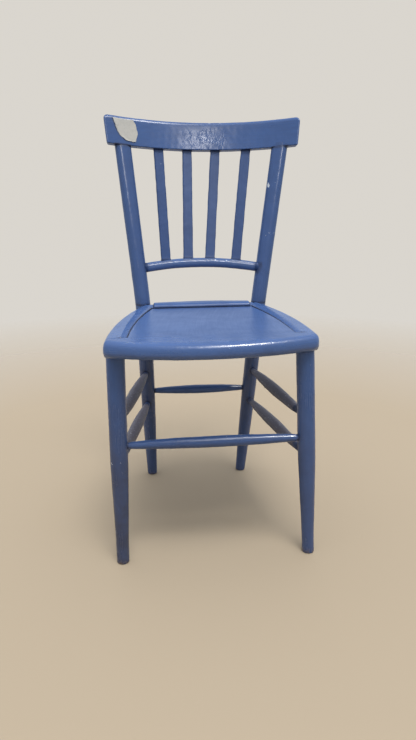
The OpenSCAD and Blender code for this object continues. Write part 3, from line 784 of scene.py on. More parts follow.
def rounded_section(low_y, high_y, low_z, high_z, radii, sides=(10, 26, 9, 24), arcs=6):
    """Rings of a rectangle with a rounded corner of its own radius at each corner.

    The limits have one value for each ring. The ring starts behind the lower back corner and goes forward
    along the bottom, up the front, back along the top and down the back. radii are for the lower front, upper
    front, upper back and lower back corners, with one value for each ring."""
    low_y, high_y, low_z, high_z = (np.asarray(v, float)[:, None] for v in (low_y, high_y, low_z, high_z))
    limit = 0.49 * np.minimum(high_y - low_y, high_z - low_z)
    r = [np.minimum(np.asarray(v, float)[:, None], limit) for v in radii]
    centres = [
        (low_y + r[0], low_z + r[0]),
        (low_y + r[1], high_z - r[1]),
        (high_y - r[2], high_z - r[2]),
        (high_y - r[3], low_z + r[3]),
    ]
    starts = (-90.0, 180.0, 90.0, 0.0)
    ys, zs = [], []
    for k in range(4):
        a = np.radians(starts[k] - np.linspace(0.0, 90.0, arcs + 1))[None, :]
        arc_y, arc_z = centres[k][0] + r[k] * np.cos(a), centres[k][1] + r[k] * np.sin(a)
        before = (k - 1) % 4
        a0 = math.radians(starts[before] - 90.0)
        from_y = centres[before][0] + r[before] * math.cos(a0)
        from_z = centres[before][1] + r[before] * math.sin(a0)
        t = np.linspace(0.0, 1.0, sides[k], endpoint=False)[1:][None, :]
        ys += [mix(from_y, arc_y[:, :1], t), arc_y]
        zs += [mix(from_z, arc_z[:, :1], t), arc_z]
    return np.concatenate(ys, 1), np.concatenate(zs, 1)


def oval(a, wide, deep, n):
    """Radius of an oval at an angle: (|cos a / wide|^n + |sin a / deep|^n)^(-1/n)."""
    return (np.abs(np.cos(a) / wide) ** n + np.abs(np.sin(a) / deep) ** n) ** (-1.0 / n)


def level_rings(axis, radius, around=56, start=90.0):
    """Rings at level heights: centre plus radius(turn) in the level plane, starting at the back."""
    a = np.radians(start) + np.linspace(0.0, FULL_TURN, around, endpoint=False)
    r = radius(a[None, :]) if callable(radius) else radius[:, None]
    x = axis[:, 0, None] + r * np.cos(a)
    y = axis[:, 1, None] + r * np.sin(a)
    z = np.broadcast_to(axis[:, 2, None], x.shape)
    return from_feet(x, y, z)


def line_rings(p, q, at, radius, around=40, start=-90.0):
    """Rings round the line from p to q at distances from p, each with its own radius."""
    d = unit(q - p)
    side = unit(np.cross(d, [0.0, 0.0, 1.0]))
    up = np.cross(side, d)
    a = np.radians(start) + np.linspace(0.0, FULL_TURN, around, endpoint=False)
    centre = p + d * at[:, None]
    spoke = side * np.cos(a)[:, None] + up * np.sin(a)[:, None]
    rings = centre[:, None, :] + radius[:, None, None] * spoke[None]
    return placed(rings)


def outside(points, p, q, radius):
    """Distance of points outside a round bar from p to q, whose ends are measured from the front feet."""
    p, q = placed(p), placed(q)
    d = unit(q - p)
    away = points - p
    along = np.clip((away @ d)[..., None], 0.0, np.linalg.norm(q - p)) * d
    return np.linalg.norm(away - along, axis=-1) - radius


# ---- Legs, posts and stretchers ----

# The foot's rounded edge, the height above which the paint is uneven, and the distance between rings
FOOT_ROUND = 0.0025
FOOT_SMOOTH = 0.003
LEG_STEP = 0.0032
NICK_HEIGHT = 0.720
# Heights of both ends: left and right, or front and back
RUNG_HEIGHTS = {
    "front": (0.238, 0.2415),
    "rear": (0.2315, 0.2315),
    "upper": (0.282, 0.2805),
    "lower": (0.2055, 0.2015),
}
# Radius in the middle, and the power of the sine that the swell follows: a low one is fuller
RUNG_SWELL = {
    "front": (0.011, 0.6),
    "rear": (0.0107, 0.8),
    "upper": (0.0122, 0.9),
    "lower": (0.0122, 0.9),
}
# How far a stretcher stops short of the legs' axes, and the length at each end that isn't swelled
RUNG_SHORT = 0.004
RUNG_STEP = 0.0026
TENON_L = 0.019
LEG_R_AT_RUNG = {"front": 0.0165, "rear": 0.0174, "upper": 0.0165, "lower": 0.0165}


def foot_heights(top):
    """Heights from the floor up, close together on the foot's rounded edge."""
    rest = np.arange(FOOT_ROUND + LEG_STEP, top, LEG_STEP)
    return np.concatenate([round_steps(FOOT_ROUND, 7), rest, [top]])


def rung_kind(name):
    """First word of a stretcher's name."""
    return name.split("_")[0]


def rung_ends(c, name):
    """Both ends of a stretcher on the legs' axes."""
    z1, z2 = RUNG_HEIGHTS[rung_kind(name)]
    if name == "front_stretcher":
        return front_leg_axis(c, LEFT, z1), front_leg_axis(c, RIGHT, z2)
    if name == "rear_stretcher":
        return back_leg_axis(c, LEFT, z1), back_leg_axis(c, RIGHT, z2)
    s = LEFT if name.endswith("left") else RIGHT
    return front_leg_axis(c, s, z1), back_leg_axis(c, s, z2)


def rung_names():
    """Names of the stretchers' nodes in the frame."""
    side = [f"{level}_stretcher_{s}" for level in ("upper", "lower") for s in SIDES]
    return ["front_stretcher", "rear_stretcher", *side]


def rung_halo(c, points, names):
    """Grime on a leg round the places where stretchers enter it."""
    mask = np.zeros(points.shape[:-1])
    for name in names:
        p, q = rung_ends(c, name)
        mask = np.maximum(mask, fringe(outside(points, p, q, c.tenon_r + 0.001), 0.0022))
    return mask


def ring_bumps(z, places):
    """Slight turned swellings left by hand sanding: the sum of bells at some heights."""
    return sum(height * bell(z - at, width) for at, width, height in places)


class CHAIR_OT_front_legs(bpy.types.Operator):
    """Turned front legs: a smooth taper below and straight above, with rounded feet"""

    bl_idname = "chair.front_legs"
    bl_label = "Front Legs"

    def execute(self, context):
        c, look = chair_settings(context)
        z = foot_heights(SEAT_UNDER + 0.006)
        for side, s in SIDES.items():
            radius = front_leg_radius(c, z) - quarter_round(z, FOOT_ROUND)
            radius = radius + ring_bumps(z, [(0.10, 0.03, 0.0002), (0.31, 0.04, -0.0002)])
            rings = level_rings(front_leg_axis(c, s, z), radius)
            rings = np.where(rings[..., 2:] > FOOT_SMOOTH, uneven(rings, look.lump, s), rings)
            names = ["front_stretcher", f"upper_stretcher_{side}", f"lower_stretcher_{side}"]
            # Painted shade on the leg just under the seat; grime round the stretchers' joints; darker towards
            # the floor, more on the left leg, and a little all over as painted shade.
            under_seat = bell(SEAT_UNDER - rings[..., 2], 0.0035)
            masks = {
                "grime_and_shade": np.maximum(0.75 * rung_halo(c, rings, names), 0.8 * under_seat),
                "edge": 0.25 + 0.75 * bell(rings[..., 2], 0.02),
                "scuff": 0.9 * bell(rings[..., 2], 0.007),
                "dust_and_shade": mix(0.22, 0.95 if s == LEFT else 0.60, smooth((0.40 - rings[..., 2]) / 0.30)),
            }
            put_piece(f"leg_front_{side}", rings, f"front_leg_{side}", masks)
        return {"FINISHED"}


class CHAIR_OT_back_posts(bpy.types.Operator):
    """Back legs that bend at the seat and go on as posts, round below and oval at the top"""

    bl_idname = "chair.back_posts"
    bl_label = "Back Posts"

    def execute(self, context):
        c, look = chair_settings(context)
        z = foot_heights(c.post_top_z + 0.012)
        up = above_knee(c, z)
        for side, s in SIDES.items():
            wide = (back_leg_radius(c, z) - quarter_round(z, FOOT_ROUND))[:, None]
            deep = np.minimum(wide, mix(c.post_r + 0.0003, c.post_top_depth / 2, up)[:, None])
            turn = -s * math.asin(c.post_top_x / c.crest_bend)
            n = mix(2.0, 2.5, smooth(up))[:, None]

            def radius(a, wide=wide, deep=deep, turn=turn, n=n):
                """Oval with the wide way along the crest rail."""
                return oval(a - turn, wide, deep, n)

            rings = level_rings(back_leg_axis(c, s, z), radius, around=60)
            rings = np.where(rings[..., 2:] > FOOT_SMOOTH, uneven(rings, look.lump, 3 + s), rings)
            below = -crest_height_of(c, rings)
            names = ["rear_stretcher", f"upper_stretcher_{side}", f"lower_stretcher_{side}"]
            rail = lower_rail_halo(c, rings)
            above = rings[..., 2] - seat_level(c, rings[..., 1] - feet_shift(c)[1])
            seat = fringe(above, 0.0015) * (above > -0.004)
            rungs = 0.75 * rung_halo(c, rings, names)
            nick = post_nick(c, rings) if s == RIGHT else 0.0
            # Painted shade just under the crest rail; grime round the lower rail, the stretchers and the
            # seat; darker below the seat, and a little all over as painted shade.
            masks = {
                "grime_and_shade": np.maximum.reduce([rungs, bell(below, 0.0018), 0.6 * rail, 0.95 * seat]),
                "edge": 0.25 + 0.75 * bell(rings[..., 2], 0.02) + nick,
                "scuff": 0.7 * bell(rings[..., 2], 0.006),
                "dust_and_shade": mix(0.22, 0.55, smooth((SEAT_UNDER - rings[..., 2]) / 0.15)),
            }
            put_piece(f"post_back_{side}", rings, f"back_post_{side}", masks)
        return {"FINISHED"}


def post_nick(c, points):
    """Edge mask of the long nick on the inner front of the right post: a bell, longest upwards."""
    axis = back_leg_axis(c, RIGHT, NICK_HEIGHT)
    spot = from_feet(axis[0] - 0.015, axis[1] - 0.006, NICK_HEIGHT)
    d = (points - spot) / np.array([0.0022, 0.008, 0.010])
    return 4.0 * np.exp(-(d**2).sum(-1))


class CHAIR_OT_stretchers(bpy.types.Operator):
    """Turned stretchers, swelled in the middle, with a little paint gathered at each end"""

    bl_idname = "chair.stretchers"
    bl_label = "Stretchers"

    def execute(self, context):
        c, look = chair_settings(context)
        for i, name in enumerate(rung_names()):
            p, q = rung_ends(c, name)
            kind = rung_kind(name)
            side = kind in ("upper", "lower")
            span = float(np.linalg.norm(q - p))
            middle_r, fullness = RUNG_SWELL[kind]
            at = np.linspace(RUNG_SHORT, span - RUNG_SHORT, int(span / RUNG_STEP))
            t = np.clip((at - TENON_L) / (span - 2 * TENON_L), 0.0, 1.0)
            radius = mix(c.tenon_r, middle_r, np.sin(math.pi * t) ** fullness)
            rings = uneven(line_rings(p, q, at, radius), look.lump * (1.6 if side else 1.2), 20 + i)
            from_front = (at - LEG_R_AT_RUNG[kind])[:, None]
            from_back = (span - at - LEG_R_AT_RUNG[kind])[:, None]
            joint = fringe(np.minimum(from_front, from_back), 0.003)
            left = np.maximum(bell(from_front, 0.050), bell(from_back, 0.030))
            # Grime at the joints; the right side stretchers are darkened all over; dirt and painted shade
            # darken all of them, the rear one least.
            masks = {
                "grime_and_shade": np.maximum(0.85 * joint, 0.4 if side and name.endswith("right") else 0.0),
                "edge": 0.3,
                "dust_and_shade": 0.1 if kind == "rear" else 0.35,
                "dull": 0.5 if kind == "rear" else 0.0,
                "paint_left": left * (1.0 if kind == "lower" else 0.75),
            }
            finish = ("worn_dark_rung", dark_rung()) if side else ()
            put_piece("rung_" + name.replace("_stretcher", ""), rings, name, masks, *finish)
        return {"FINISHED"}


# ---- Crest rail, slats and lower rail ----

# Places across of the slats' tops from the crest rail's middle and of their feet from the lower rail's
SLAT_TOP = (-0.1035, -0.0355, 0.0315, 0.104)
SLAT_FOOT = (-0.078, -0.0255, 0.0255, 0.087)
SLAT_SHIFT = -0.005
SLAT_SHINE = (-0.6, -0.35, -0.3, -0.45)
SLAT_ROUND = 0.0026
SLAT_STEP = 0.0022
SLAT_IN_CREST = 0.008
LOWER_RAIL_SHORT = 0.004
CREST_STEP = 0.0016
CREST_ROUND = {
    "low_front": 0.0022,
    "front": 0.0105,
    "back": 0.008,
    "low_back": 0.009,
    "corner": 0.010,
    "low_corner": 0.0035,
    "end": 0.004,
}


def lower_arc(c):
    """Middle, half width, sag, tilt and radius of the lower rail's arc between the posts."""
    a, b = back_leg_axis(c, LEFT, c.lower_z), back_leg_axis(c, RIGHT, c.lower_z)
    half = (b[0] - a[0]) / 2
    sag = math.hypot(c.lower_rise, c.lower_bow)
    return (a + b) / 2, half, sag, math.atan2(c.lower_rise, c.lower_bow), (half**2 + sag**2) / (2 * sag)


def lower_rail_centre(c, x):
    """Middle line of the lower rail: an arc of a circle in a plane tilted between back and up."""
    middle, _, sag, tilt, r = lower_arc(c)
    bow = np.sqrt(r * r - x * x) - (r - sag)
    return np.stack([middle[0] + x, middle[1] + bow * math.cos(tilt), middle[2] + bow * math.sin(tilt)], -1)


def lower_rail_halo(c, points):
    """Grime on a post round the end of the lower rail."""
    _, half, _, _, _ = lower_arc(c)
    ends = lower_rail_centre(c, np.array([-half, half]))
    mask = np.zeros(points.shape[:-1])
    for end in placed(ends):
        level = np.abs(points[..., 2] - end[2]) - c.lower_h / 2
        depth = np.abs(points[..., 1] - end[1]) - c.lower_t / 2
        inwards = np.sign(-end[0]) * (points[..., 0] - end[0])
        facing = (inwards > 0.004) & (inwards < 2.0 * c.post_r)
        mask = np.maximum(mask, fringe(np.maximum(level, depth), 0.0025) * facing)
    return mask


def bow_of(x, r, half):
    """Height of an arc of radius r over its chord of the given half width."""
    return math.sqrt(r * r - x * x) - math.sqrt(r * r - half * half)


class CHAIR_OT_crest_rail(bpy.types.Operator):
    """Bent crest rail: a section with four rounded corners along an arc, with slanted rounded ends"""

    bl_idname = "chair.crest_rail"
    bl_label = "Crest Rail"

    def execute(self, context):
        c, look = chair_settings(context)
        half = c.crest_w / 2
        corner = CREST_ROUND["corner"]
        inner = np.arange(corner + CREST_STEP, half, CREST_STEP)
        from_end = np.concatenate([round_steps(corner, 9), inner, [half]])
        share_out = 1.0 - from_end / half
        along = np.concatenate([-share_out, share_out[-2::-1]])
        e = half * (1.0 - np.abs(along))
        faces = quarter_round(e, CREST_ROUND["end"])
        top = c.crest_h - quarter_round(e, corner)
        bottom = quarter_round(e, CREST_ROUND["low_corner"])
        corners = (CREST_ROUND[key] for key in ("low_front", "front", "back", "low_back"))
        radii = [np.maximum(r - 0.5 * faces, 0.001) for r in corners]
        depth, height = rounded_section(faces, c.crest_t - faces, bottom, top, radii, (8, 34, 4, 24), 12)
        reach = half - c.crest_slant + c.crest_slant * np.clip(height / (c.crest_h - corner), 0.0, 1.0)
        x = along[:, None] * reach
        arc_r = c.crest_bend - c.crest_t / 2 + depth
        rings = crest_point(c, x, np.sqrt(arc_r**2 - x**2) - bend_to_posts(c), height)
        rings = uneven(rings, look.lump, 40)
        front = smooth(1.0 - depth / 0.004) * (height > 0.001)
        patch = wrinkle_patch(x, height) * front
        n = normals_of(rings)
        rings = rings + n * (look.wrinkle * patch * wrinkles(x, height))[..., None]
        slats = np.zeros(x.shape)
        above = np.maximum(height - 0.001, 0.0)
        for at in SLAT_TOP:
            near = np.maximum(np.abs(x - at) - c.slat_w / 2, 0.0) + above
            slats = np.maximum(slats, bell(near, 0.002) * (np.abs(depth - c.crest_t / 2) < 0.010))
        for s in SIDES.values():
            near = np.maximum(np.abs(x + c.crest_shift - s * c.post_top_x) - c.post_r, 0.0) + above
            slats = np.maximum(slats, bell(near, 0.002))
        from_top = c.crest_h - height
        edges = np.maximum(bell(from_top, 0.006) * bell(depth, 0.008), bell(height, 0.003))
        # Grime and painted shade where the slats and posts meet the crest rail's underside, and the dark line
        # along the label.
        masks = {
            "wrinkle": patch,
            "edge": np.maximum(edges, bell(e[:, None], 0.006)),
            "dull": 0.85 * bell(from_top, 0.010),
            "shine": -0.35 * bell(from_top, 0.010),
            "grime_and_shade": np.maximum(0.9 * slats, label_rim(x, height) * front),
        }
        put_piece("rail_crest", rings, "crest_rail", masks)
        return {"FINISHED"}


def wrinkle_patch(x, height):
    """Soft mask of the wrinkled paint in the crest rail's middle: a flat-topped bell, broken by noise."""
    p = np.stack([x, np.zeros_like(x), height], -1)
    soft = np.exp(-(((x - 0.006) / 0.048) ** 4) - ((height - 0.026) / 0.027) ** 4)
    return soft * np.clip(0.75 + 0.7 * waves(p, 0.03, 51), 0.0, 1.0)


def wrinkles(x, height):
    """Height of the soft folds under the creases: warped waves in two sizes."""
    p = np.stack([x, np.zeros_like(x), 1.2 * height], -1)
    warp = np.stack([waves(p, 0.03, 52), np.zeros_like(x), waves(p, 0.03, 53)], -1)
    q = p + 0.004 * warp
    return 0.7 * waves(q, 0.021, 54) + 0.3 * waves(q, 0.0105, 55)


class CHAIR_OT_slats(bpy.types.Operator):
    """Four flat slats with soft edges, from the lower rail up into the crest rail"""

    bl_idname = "chair.slats"
    bl_label = "Slats"

    def execute(self, context):
        c, look = chair_settings(context)
        lean = crest_lean(c)
        for i, (top_x, foot_x) in enumerate(zip(SLAT_TOP, SLAT_FOOT)):
            foot = lower_rail_centre(c, np.array(foot_x)) + np.array([SLAT_SHIFT, 0.0, 0.0])
            bow = bow_of(top_x, c.crest_bend, c.post_top_x)
            head = np.array([top_x + c.lean_top + c.crest_shift, c.post_top_y, c.post_top_z])
            head = head + bow * np.array([0.0, math.cos(lean), -math.sin(lean)])
            d = unit(head - foot)
            level = unit(np.array([d[2], 0.0, -d[0]]))
            back = np.cross(d, level)
            turn = -math.asin(top_x / c.crest_bend)
            wide = level * math.cos(turn) + back * math.sin(turn)
            deep = back * math.cos(turn) - level * math.sin(turn)
            span = float(np.linalg.norm(head - foot))
            at = np.linspace(0.0, span + SLAT_IN_CREST, int(span / SLAT_STEP))
            to_head = span - at
            gather = 0.0007 * (bell(to_head, 0.0016) + bell(at - c.lower_h / 2, 0.0016))
            half_t = c.slat_t / 2 + gather
            hand_cut = 0.00035 * waves(np.stack([0 * at, 0 * at, at], -1), 0.03, 60 + i)
            half_w = c.slat_w / 2 + gather + hand_cut
            radii = [np.full(len(at), SLAT_ROUND)] * 4
            y, x = rounded_section(-half_t, half_t, -half_w, half_w, radii, (6, 15, 6, 15), 5)
            centre = foot + d * at[:, None]
            rings = centre[:, None, :] + x[..., None] * wide + y[..., None] * deep
            rings = uneven(placed(rings), look.lump, 70 + i)
            # Grime and painted shade at the joints, darker under the crest rail, and painted shade that
            # darkens each whole slat a little.
            joint = np.maximum(bell(to_head, 0.0026), fringe(at - c.lower_h / 2, 0.0026))
            dark_grime_and_shade = joint * np.where(at > span / 2, 0.9, 0.5)
            masks = {
                "grime_and_shade": np.maximum(dark_grime_and_shade, 0.06)[:, None],
                "edge": 0.75 * bell(half_w[:, None] - np.abs(x), 0.003),
                "dull": 0.9,
                "dust_and_shade": 0.30,
                "shine": SLAT_SHINE[i],
            }
            put_piece(f"slat_{i + 1}", rings, f"back_slat_{i + 1}", masks)
        return {"FINISHED"}


class CHAIR_OT_lower_rail(bpy.types.Operator):
    """Lower back rail: an oval section along an arc that bows up and back between the posts"""

    bl_idname = "chair.lower_rail"
    bl_label = "Lower Rail"

    def execute(self, context):
        c, look = chair_settings(context)
        _, half, _, _, r = lower_arc(c)
        x = np.linspace(-half + LOWER_RAIL_SHORT, half - LOWER_RAIL_SHORT, 150)
        centre = lower_rail_centre(c, x)
        a = np.radians(-90.0) - np.linspace(0.0, FULL_TURN, 48, endpoint=False)
        reach = oval(a, c.lower_t / 2, c.lower_h / 2, np.where(np.sin(a) > 0.0, 2.0, 2.5))
        away = unit(np.stack([x, np.sqrt(r * r - x * x), 0 * x], -1))
        rings = centre[:, None, :] + (reach * np.cos(a))[None, :, None] * away[:, None, :]
        rings[..., 2] += (reach * np.sin(a))[None, :]
        rings = uneven(placed(rings), look.lump, 80)
        joint = fringe(half - c.post_r - np.abs(x), 0.004)
        halo = slat_foot_halo(c, x, np.sin(a))
        crinkled = np.exp(-(((x - 0.012) / 0.085) ** 4))[:, None] * smooth((np.sin(a) + 0.1) / 0.4)
        masks = {
            "grime_and_shade": np.maximum(0.6 * joint[:, None], 0.3 * halo),
            "edge": 0.3,
            "wrinkle": 0.8 * crinkled,
            "dull": -0.2,
            "shine": 1.0 - 1.8 * joint[:, None],
        }
        put_piece("rail_lower_back", rings, "lower_back_rail", masks)
        return {"FINISHED"}


def slat_foot_halo(c, x, upness):
    """Grime on the lower rail's top round the slats' feet."""
    near = np.min([np.abs(x - SLAT_SHIFT - at) for at in SLAT_FOOT], axis=0)
    return fringe(near - c.slat_w / 2, 0.0022)[:, None] * smooth((upness - 0.35) / 0.4)


# ---- Seat ----

# The sloping band beside the panel, and the ledges that the panel lies on
BAND_HALF_W = 0.1665
BAND_DROP = 0.0042
LEDGE_W = 0.010
LEDGE_DROP = 0.008
FRONT_LEDGE = 0.032
RAIL_JOINT_X = 0.113
EDGE_MIDDLE = 0.012
# Radii of the seat's edges in plan, and how far back its widest place is
SIDE_R, SIDE_WIDEST = 1.0, 0.010
PANEL_SIDE_R = 1.25
BAND_SIDE_R = 1.5
FRONT_R = 0.480
BACK_R = 0.450
# How far from its point a corner's curve starts, across and along the side
FRONT_CORNER = (0.014, 0.018)
BACK_CORNER = (0.015, 0.019)
BACK_CORNER_AT = 0.320
# How far in the rounded edges reach and how full the upper one is, at the sides and at the front
LIP_REACH = (0.004, 0.014)
TOP_REACH = (0.012, 0.022)
TOP_POWER = (2.6, 3.0)
FAN_HALF_W = 0.140
# The open joint of a side rail at the front: its gap, its step down, where the step ends, and its grime and
# painted shade
JOINT_GAP = 0.0002
JOINT_STEP = 0.0016
JOINT_EASE = 0.0022
STEP_OUT, STEP_FADE = 0.1765, 0.008
GRIME_SHADE_OUT, GRIME_SHADE_FADE = 0.1775, 0.011
FLAT_LEAST = 0.013
# Rounded ends and edges of the back rail, and the panel's own edge, gap, slope down and dish
BACK_EASE = 0.0032
BACK_GAP = 0.0006
BACK_STEP = 0.0028
BACK_POWER = 2.1
BACK_LIP_REACH, BACK_LIP_RISE = 0.008, 0.010
BACK_TOP_REACH, BACK_TOP_RISE = 0.015, 0.018
BACK_FRONT_REACH, BACK_FRONT_FALL = 0.012, 0.0085
PANEL_EASE = 0.0022
PANEL_STEP = 0.0026
PANEL_GAP = 0.0008
PANEL_SUNK = 0.001
PANEL_DISH = 0.0008


def edge_x(y, half_w, r, y_mid):
    """Half width of an arc of radius r whose widest place is at y_mid."""
    return half_w - r + np.sqrt(r * r - (y - y_mid) ** 2)


def seat_side(c, y):
    """Half width of the seat at a distance back."""
    return edge_x(y, c.seat_half_w, SIDE_R, SIDE_WIDEST)


def panel_side(c, y):
    """Half width of the panel at a distance back."""
    return edge_x(y, c.panel_half_w, PANEL_SIDE_R, c.panel_front)


def band_side(c, y):
    """Half width of the line where the band begins to slope down to the panel."""
    return edge_x(y, BAND_HALF_W, BAND_SIDE_R, c.panel_front)


def front_edge(c, x):
    """Place of the front edge at a distance across: an arc that is furthest forward in the middle."""
    return FRONT_R - c.seat_front - np.sqrt(FRONT_R**2 - x * x)


def back_edge(c, x):
    """Place of the back edge at a distance across: an arc that is furthest back in the middle."""
    return c.seat_back - BACK_R + np.sqrt(BACK_R**2 - x * x)


def bend(a, corner, b, count):
    """Quadratic curve from a to b that starts and ends towards the corner."""
    t = np.linspace(0.0, 1.0, count)[:, None]
    a, corner, b = (np.asarray(v, float) for v in (a, corner, b))
    return (1 - t) ** 2 * a + 2 * t * (1 - t) * corner + t * t * b


def front_corner(c):
    """The seat's right front corner as a curve from the front edge to the side."""
    across, along = FRONT_CORNER
    w = seat_side(c, 0.0) - across
    f = front_edge(c, w) + along
    corner = (seat_side(c, f - across), front_edge(c, w + across))
    return bend((w, front_edge(c, w)), corner, (seat_side(c, f), f), 14)


def back_corner(c):
    """The seat's right back corner as a curve from the side to the back edge."""
    across, along = BACK_CORNER
    w = seat_side(c, BACK_CORNER_AT) - across
    b = back_edge(c, w) - along
    corner = (seat_side(c, b + across), back_edge(c, w + across))
    return bend((seat_side(c, b), b), corner, (w, back_edge(c, w)), 22)


def seat_level(c, y):
    """Height of the seat's top at a distance back."""
    return c.seat_top + y * math.tan(c.seat_rise)


def panel_level(c, y):
    """Height of the panel's plane, which meets the front rail's top at the joint."""
    return seat_level(c, c.panel_front) + (y - c.panel_front) * math.tan(c.panel_rise)


def superround(reach, rise, n, count):
    """Offsets of a rounded edge from its lip to its flat: reach (1 - cos^(2/n)) in and rise sin^(2/n) up."""
    a = np.linspace(0.0, QUARTER_TURN, count)[None, :]
    reach, rise, n = (np.asarray(v, float)[:, None] for v in (reach, rise, n))
    return reach * (1.0 - np.cos(a).clip(0) ** (2.0 / n)), rise * np.sin(a) ** (2.0 / n)


def seat_rings(c, outer, inner, ledge, parts):
    """Closed rings of a seat rail.

    outer and inner are the rail's edges in plan before creep, one point for each ring. parts are pairs of
    (distance in from the outer edge, height), one row for each ring, from the lower lip over the top to the
    inner edge. ledge is how far the shelf below the panel goes on from the inner edge."""
    run = np.concatenate([p[0] for p in parts], 1)
    z = np.concatenate([p[1] for p in parts], 1)
    width = np.linalg.norm(inner - outer, axis=1)[:, None]
    xy = outer[:, None, :] + (inner - outer)[:, None, :] * (run / width)[..., None]
    level = panel_level(c, inner[:, 1])[:, None] - LEDGE_DROP
    shelf = inner + ledge
    t = np.linspace(0.0, 1.0, 5)[None, :, None]
    floor = outer + (inner - outer) * (run[:, :1] / width)
    wall = np.broadcast_to(inner[:, None, :], (len(inner), 2, 2))
    under = mix(shelf[:, None, :], floor[:, None, :], t)[:, :-1]
    xy = np.concatenate([xy, wall, shelf[:, None, :], shelf[:, None, :], under[:, 1:]], 1)
    bottom = np.full((len(inner), under.shape[1]), SEAT_UNDER)
    z = np.concatenate([z, mix(z[:, -1:], level, 0.5), level, level, bottom], 1)
    x, y = racked(xy[..., 0], xy[..., 1])
    return from_feet(x, y, z)


def plan_normals(path):
    """Unit normals of a plan curve, turned to the right of its direction."""
    d = unit(np.gradient(path, axis=0))
    return np.stack([d[:, 1], -d[:, 0]], -1)


def lip_and_top(c, outer, forward):
    """The rounded lower and upper edges of the seat. forward is 1 at the front edge and 0 at the sides."""
    still = 0 * forward
    low_run, low_rise = superround(mix(*LIP_REACH, forward), still + EDGE_MIDDLE, still + 2.0, 9)
    lip = (low_run[:, ::-1], SEAT_UNDER + EDGE_MIDDLE - low_rise[:, ::-1])
    top = seat_level(c, outer[:, 1]) - SEAT_UNDER - EDGE_MIDDLE
    run, rise = superround(mix(*TOP_REACH, forward), top, mix(*TOP_POWER, forward), 16)
    return lip, (run[:, 1:], SEAT_UNDER + EDGE_MIDDLE + rise[:, 1:])


def points_of(parts):
    """How many points of a ring its parts give."""
    return sum(run.shape[1] for run, _ in parts)


def inward(outer_run, width, count):
    """Distances from the end of the rounded top to the inner edge, without the first."""
    t = np.linspace(0.0, 1.0, count)[None, 1:]
    return mix(outer_run[:, -1:], width[:, None], t)


class CHAIR_OT_seat_front(bpy.types.Operator):
    """Front rail of the seat: a deep waterfall edge that turns the corners and narrows to the sides"""

    bl_idname = "chair.seat_front"
    bl_label = "Seat Front Rail"

    def execute(self, context):
        c, look = chair_settings(context)
        corner = front_corner(c)
        x = np.linspace(-corner[0, 0], corner[0, 0], 190)[1:-1]
        middle = np.stack([x, front_edge(c, x)], -1)
        side_y = np.linspace(corner[-1, 1], c.panel_front, 8)[1:]
        right = np.concatenate([corner, np.stack([seat_side(c, side_y), side_y], -1)])
        left = right[::-1] * np.array([-1.0, 1.0])
        outer = np.concatenate([left, middle, right])
        fan = np.linspace(c.panel_half_w, FAN_HALF_W, len(right))
        straight = np.linspace(-FAN_HALF_W, FAN_HALF_W, len(middle) + 2)[1:-1]
        inner_x = np.concatenate([-fan, straight, fan[::-1]])
        inner = np.stack([inner_x, np.full(len(inner_x), c.panel_front)], -1)
        forward = smooth((-plan_normals(outer)[:, 1] - 0.10) / 0.75)
        lip, top = lip_and_top(c, outer, forward)
        width = np.linalg.norm(inner - outer, axis=1)
        run = inward(top[0], width, 14)
        t = run / width[:, None]
        flat = seat_level(c, mix(outer[:, 1:], inner[:, 1:], t))
        last = top[1][:, -1:]
        flat = mix(last, flat, smooth((t - t[:, :1]) / (1.0 - t[:, :1])))
        parts = [lip, top, (run, flat)]
        rings = seat_rings(c, outer, inner, np.array([0.0, FRONT_LEDGE]), parts)
        rings = soften(rings, look.lump, 90, points_of(parts) - 1)
        masks = {
            "edge": under_edge(rings) + 0.5 * bell(rings[..., 2] - c.seat_top + 0.006, 0.006),
            "grime_and_shade": front_step_mask(c, rings),
            "wrinkle": 0.4,
            "dull": 0.3,
            "shine": 0.4,
        }
        put_piece("seat_rail_front", rings, "seat_front_rail", masks)
        return {"FINISHED"}


def under_edge(points):
    """Edge mask of the seat's lower edge, where the paint is knocked off."""
    return 0.6 * bell(points[..., 2] - SEAT_UNDER, 0.004)


def soften(rings, lump, seed, visible):
    """Uneven paint on the first points of each ring, which show, and none where pieces touch."""
    moved = uneven(rings, lump, seed)
    keep = (np.arange(rings.shape[1]) < visible)[None, :, None]
    return np.where(keep, moved, rings)


def plan_of(points):
    """Plan position before creep of points in the chair's own frame."""
    c = bpy.context.scene.chair_sizes
    right, back = feet_shift(c)
    x, y = points[..., 0] - right + SEAT_TO_LEFT, points[..., 1] - back
    scale = 1.0 - c.creep_x * c.creep_y
    return (x - c.creep_x * y) / scale, (y - c.creep_y * x) / scale


def front_step_mask(c, points):
    """Grime and painted shade along the short open stretch of the joints between the front rail and the side
    rails.
    """
    x, y = plan_of(points)
    along = smooth((np.abs(x) - c.panel_half_w + 0.001) / 0.002)
    along = along * smooth((GRIME_SHADE_OUT - np.abs(x)) / GRIME_SHADE_FADE)
    d = y - c.panel_front
    return bell(d, np.where(d > 0.0, 0.0046, 0.0012)) * along * (points[..., 2] > c.seat_top - 0.008)


